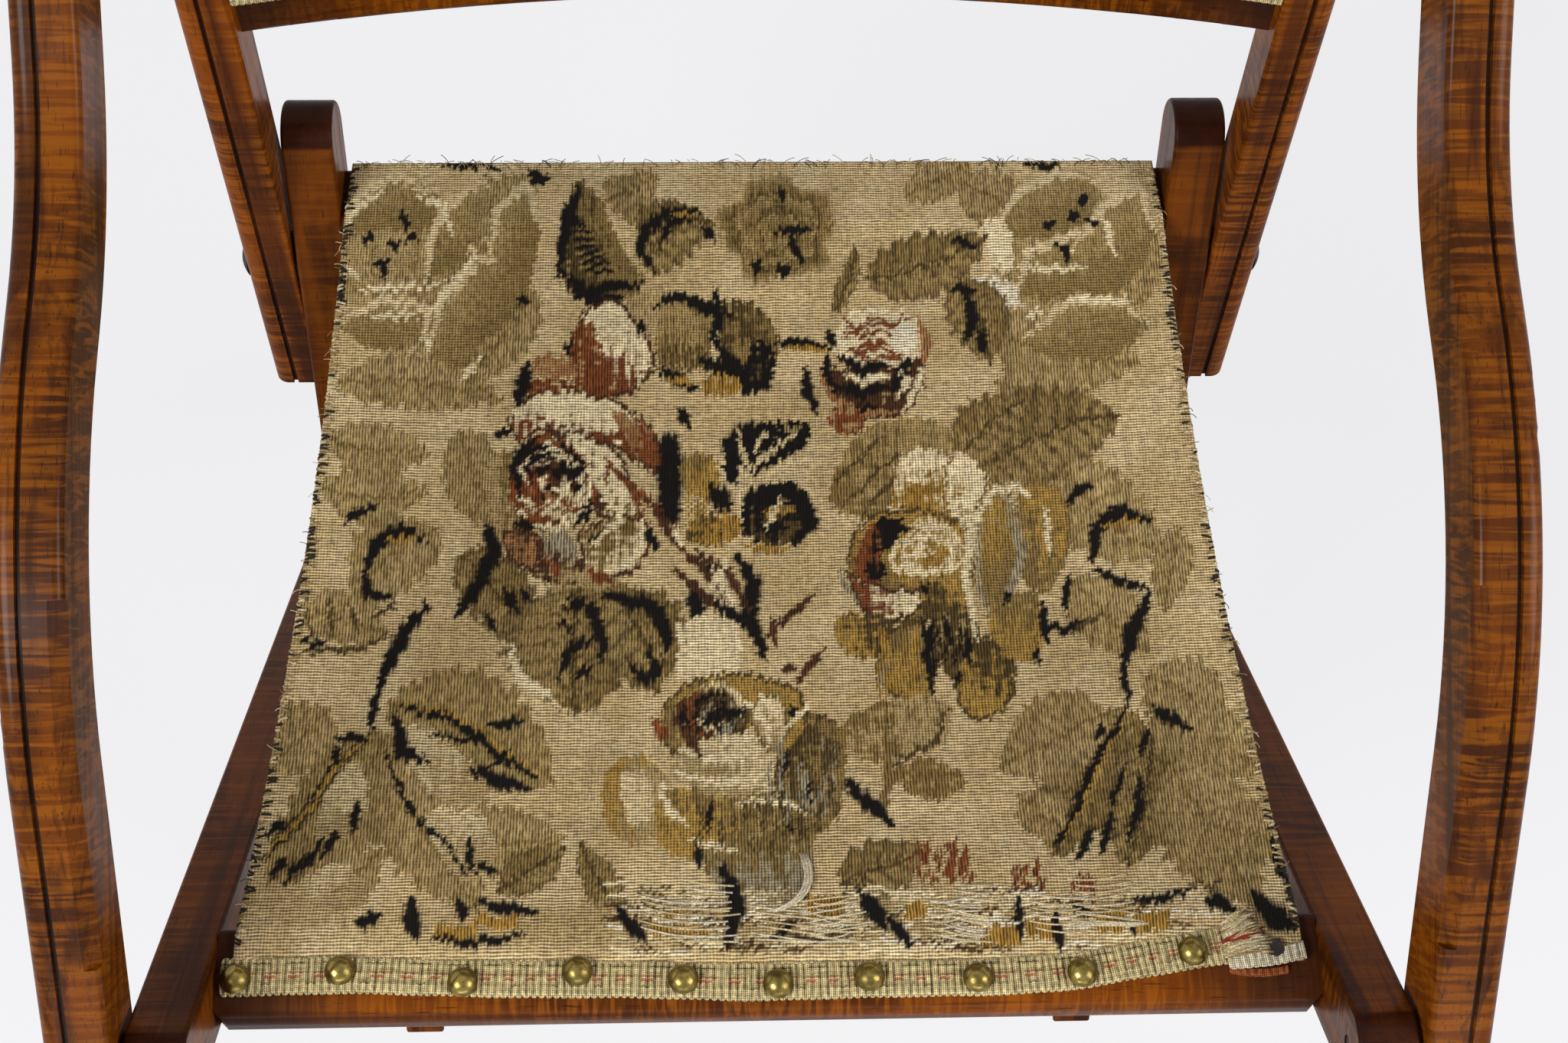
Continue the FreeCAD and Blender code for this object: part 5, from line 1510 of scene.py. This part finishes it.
def back_sheet(name, step, front, thick, material, node):
    """A bowed sheet between the stiles; a negative thickness turns its border to the front."""
    columns = int(2 * panel_half / step) + 1
    rows = int(panel_height / step) + 1
    across = np.linspace(-panel_half, panel_half, columns)
    upward = np.linspace(panel_foot, panel_foot + panel_height, rows)
    x, z = (values.ravel() for values in np.meshgrid(across, upward))
    sheet = in_back(x, front + bow(x), z)
    points, faces, border = skirted(sheet, columns, rows, thick * np.array(back_out))
    if thick < 0:
        faces = [face[::-1] for face in faces]
    piece = mesh_piece(name, points, faces, material)
    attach(piece, "back_frame")
    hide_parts(node)
    return piece, x, z, border


# The back's pattern: pixels to a metre, and the picture place at the cover's middle
repeat_scale = 3300.0
repeat_middle = (1016, 720)
cover, x, z, border = back_sheet("back_tapestry", 1.2 * mm, panel_front, 5 * mm, tapestry,
                                 "back_panel")
below_middle = panel_foot + panel_height / 2 - z
canvas = Canvas(repeat_middle[0] - x * repeat_scale, repeat_middle[1] + below_middle * repeat_scale)
back_pattern(canvas)
painted(cover, bordered(canvas.paint, border), bordered(canvas.warp, border),
        bordered(flat_places(x, z), border))
lining_weave = cloth("lining", 0.9 * mm, 0.2 * mm)
lining, x, z, border = back_sheet("back_lining_cloth", 5 * mm, lining_back, -1.2 * mm, lining_weave,
                                  "back_lining")
count = len(lining.data.vertices)
painted(lining, one_colour(lining_brown, count), np.full(count, 0.3), bordered(flat_places(x, z), border))


def on_back(height_place):
    """A lift for a braid across the back at a height."""
    def lift(u, v, height):
        x = u - panel_half
        return in_back(x, panel_front - clearance + bow(x) - height, height_place + v)

    return lift


def up_side(middle_x, start):
    """A lift for a braid up one side of the back."""
    def lift(u, v, height):
        x = middle_x + v
        return in_back(x, panel_front - clearance + bow(x) - height, start + u)

    return lift


inset = back_gimp_width / 2
braid_width = back_gimp_width * 0.92
foot_line = panel_foot + inset
crest_line = panel_foot + panel_height - inset
for name, place in (("back_gimp_lower", foot_line), ("back_gimp_upper", crest_line)):
    braid(name + "_braid", "back_frame", [name], 2 * panel_half, braid_width, back_gimp_thick,
          on_back(place))
side_length = panel_height - 2 * back_gimp_width
for name, side in (("back_gimp_left", -1), ("back_gimp_right", 1)):
    braid(name + "_braid", "back_frame", [name], side_length, braid_width, back_gimp_thick,
          up_side(side * (panel_half - inset), panel_foot + back_gimp_width))


def background_rays(tree, share):
    """How far a ray shows the background: camera, glossy and transmission rays do, up to a share."""
    path = tree.nodes.new("ShaderNodeLightPath")
    seen = path.outputs["Is Camera Ray"]
    for kind in ("Is Glossy Ray", "Is Transmission Ray"):
        either = tree.nodes.new("ShaderNodeMath")
        either.operation = "MAXIMUM"
        tree.links.new(seen, either.inputs[0])
        tree.links.new(path.outputs[kind], either.inputs[1])
        seen = either.outputs[0]
    part = tree.nodes.new("ShaderNodeMath")
    part.operation = "MULTIPLY"
    part.inputs[1].default_value = share
    tree.links.new(seen, part.inputs[0])
    return part.outputs[0]


# Floor: pale paper that glows a little where the background is seen
floor_half = 30.0
floor_corners = floor_half * np.array([(-1, -1, 0), (1, -1, 0), (1, 1, 0), (-1, 1, 0)], float)
paper = bpy.data.materials.new("pale_floor")
floor = mesh_piece("floor", floor_corners, [(0, 1, 2, 3)], paper)
paper.use_nodes = True
nodes = paper.node_tree.nodes
link = paper.node_tree.links.new
matt = nodes["Principled BSDF"]
matt.inputs["Base Color"].default_value = rgb(236, 236, 238)
matt.inputs["Roughness"].default_value = 0.9
glow = nodes.new("ShaderNodeEmission")
glow.inputs["Color"].default_value = rgb(246, 246, 248)
blend = nodes.new("ShaderNodeMixShader")
link(background_rays(paper.node_tree, 0.8), blend.inputs[0])
link(matt.outputs[0], blend.inputs[1])
link(glow.outputs[0], blend.inputs[2])
link(blend.outputs[0], nodes["Material Output"].inputs["Surface"])

# Sky: dim as a light, nearly white as a background
world = bpy.data.worlds.new("studio")
world.use_nodes = True
sky = world.node_tree.nodes["Background"]
sky.inputs["Color"].default_value = (1, 1, 1, 1)
strength = world.node_tree.nodes.new("ShaderNodeMapRange")
strength.inputs["To Min"].default_value = 0.22
strength.inputs["To Max"].default_value = 0.9
world.node_tree.links.new(background_rays(world.node_tree, 1.0), strength.inputs["Value"])
world.node_tree.links.new(strength.outputs["Result"], sky.inputs["Strength"])
bpy.context.scene.world = world


def lamp(name, place, target, size, power):
    """A rectangular light that looks at a target."""
    light = bpy.data.lights.new(name, "AREA")
    light.shape = "RECTANGLE"
    light.size, light.size_y = size
    light.energy = power
    holder = bpy.data.objects.new(name, light)
    holder.location = place
    holder.rotation_euler = (Vector(target) - Vector(place)).to_track_quat("-Z", "Y").to_euler()
    bpy.context.scene.collection.objects.link(holder)


seat_middle = (0, 0, 0.45)
lamp("key", (-1.5, -1.1, 2.2), seat_middle, (1.2, 1.0), 46)
lamp("fill", (1.7, -0.7, 1.8), seat_middle, (1.0, 1.2), 26)
lamp("front_light", (0.0, -2.3, 0.9), (0, 0, 0.5), (2.2, 0.35), 9)

bpy.context.scene.view_settings.view_transform = "Standard"
bpy.context.view_layer.update()
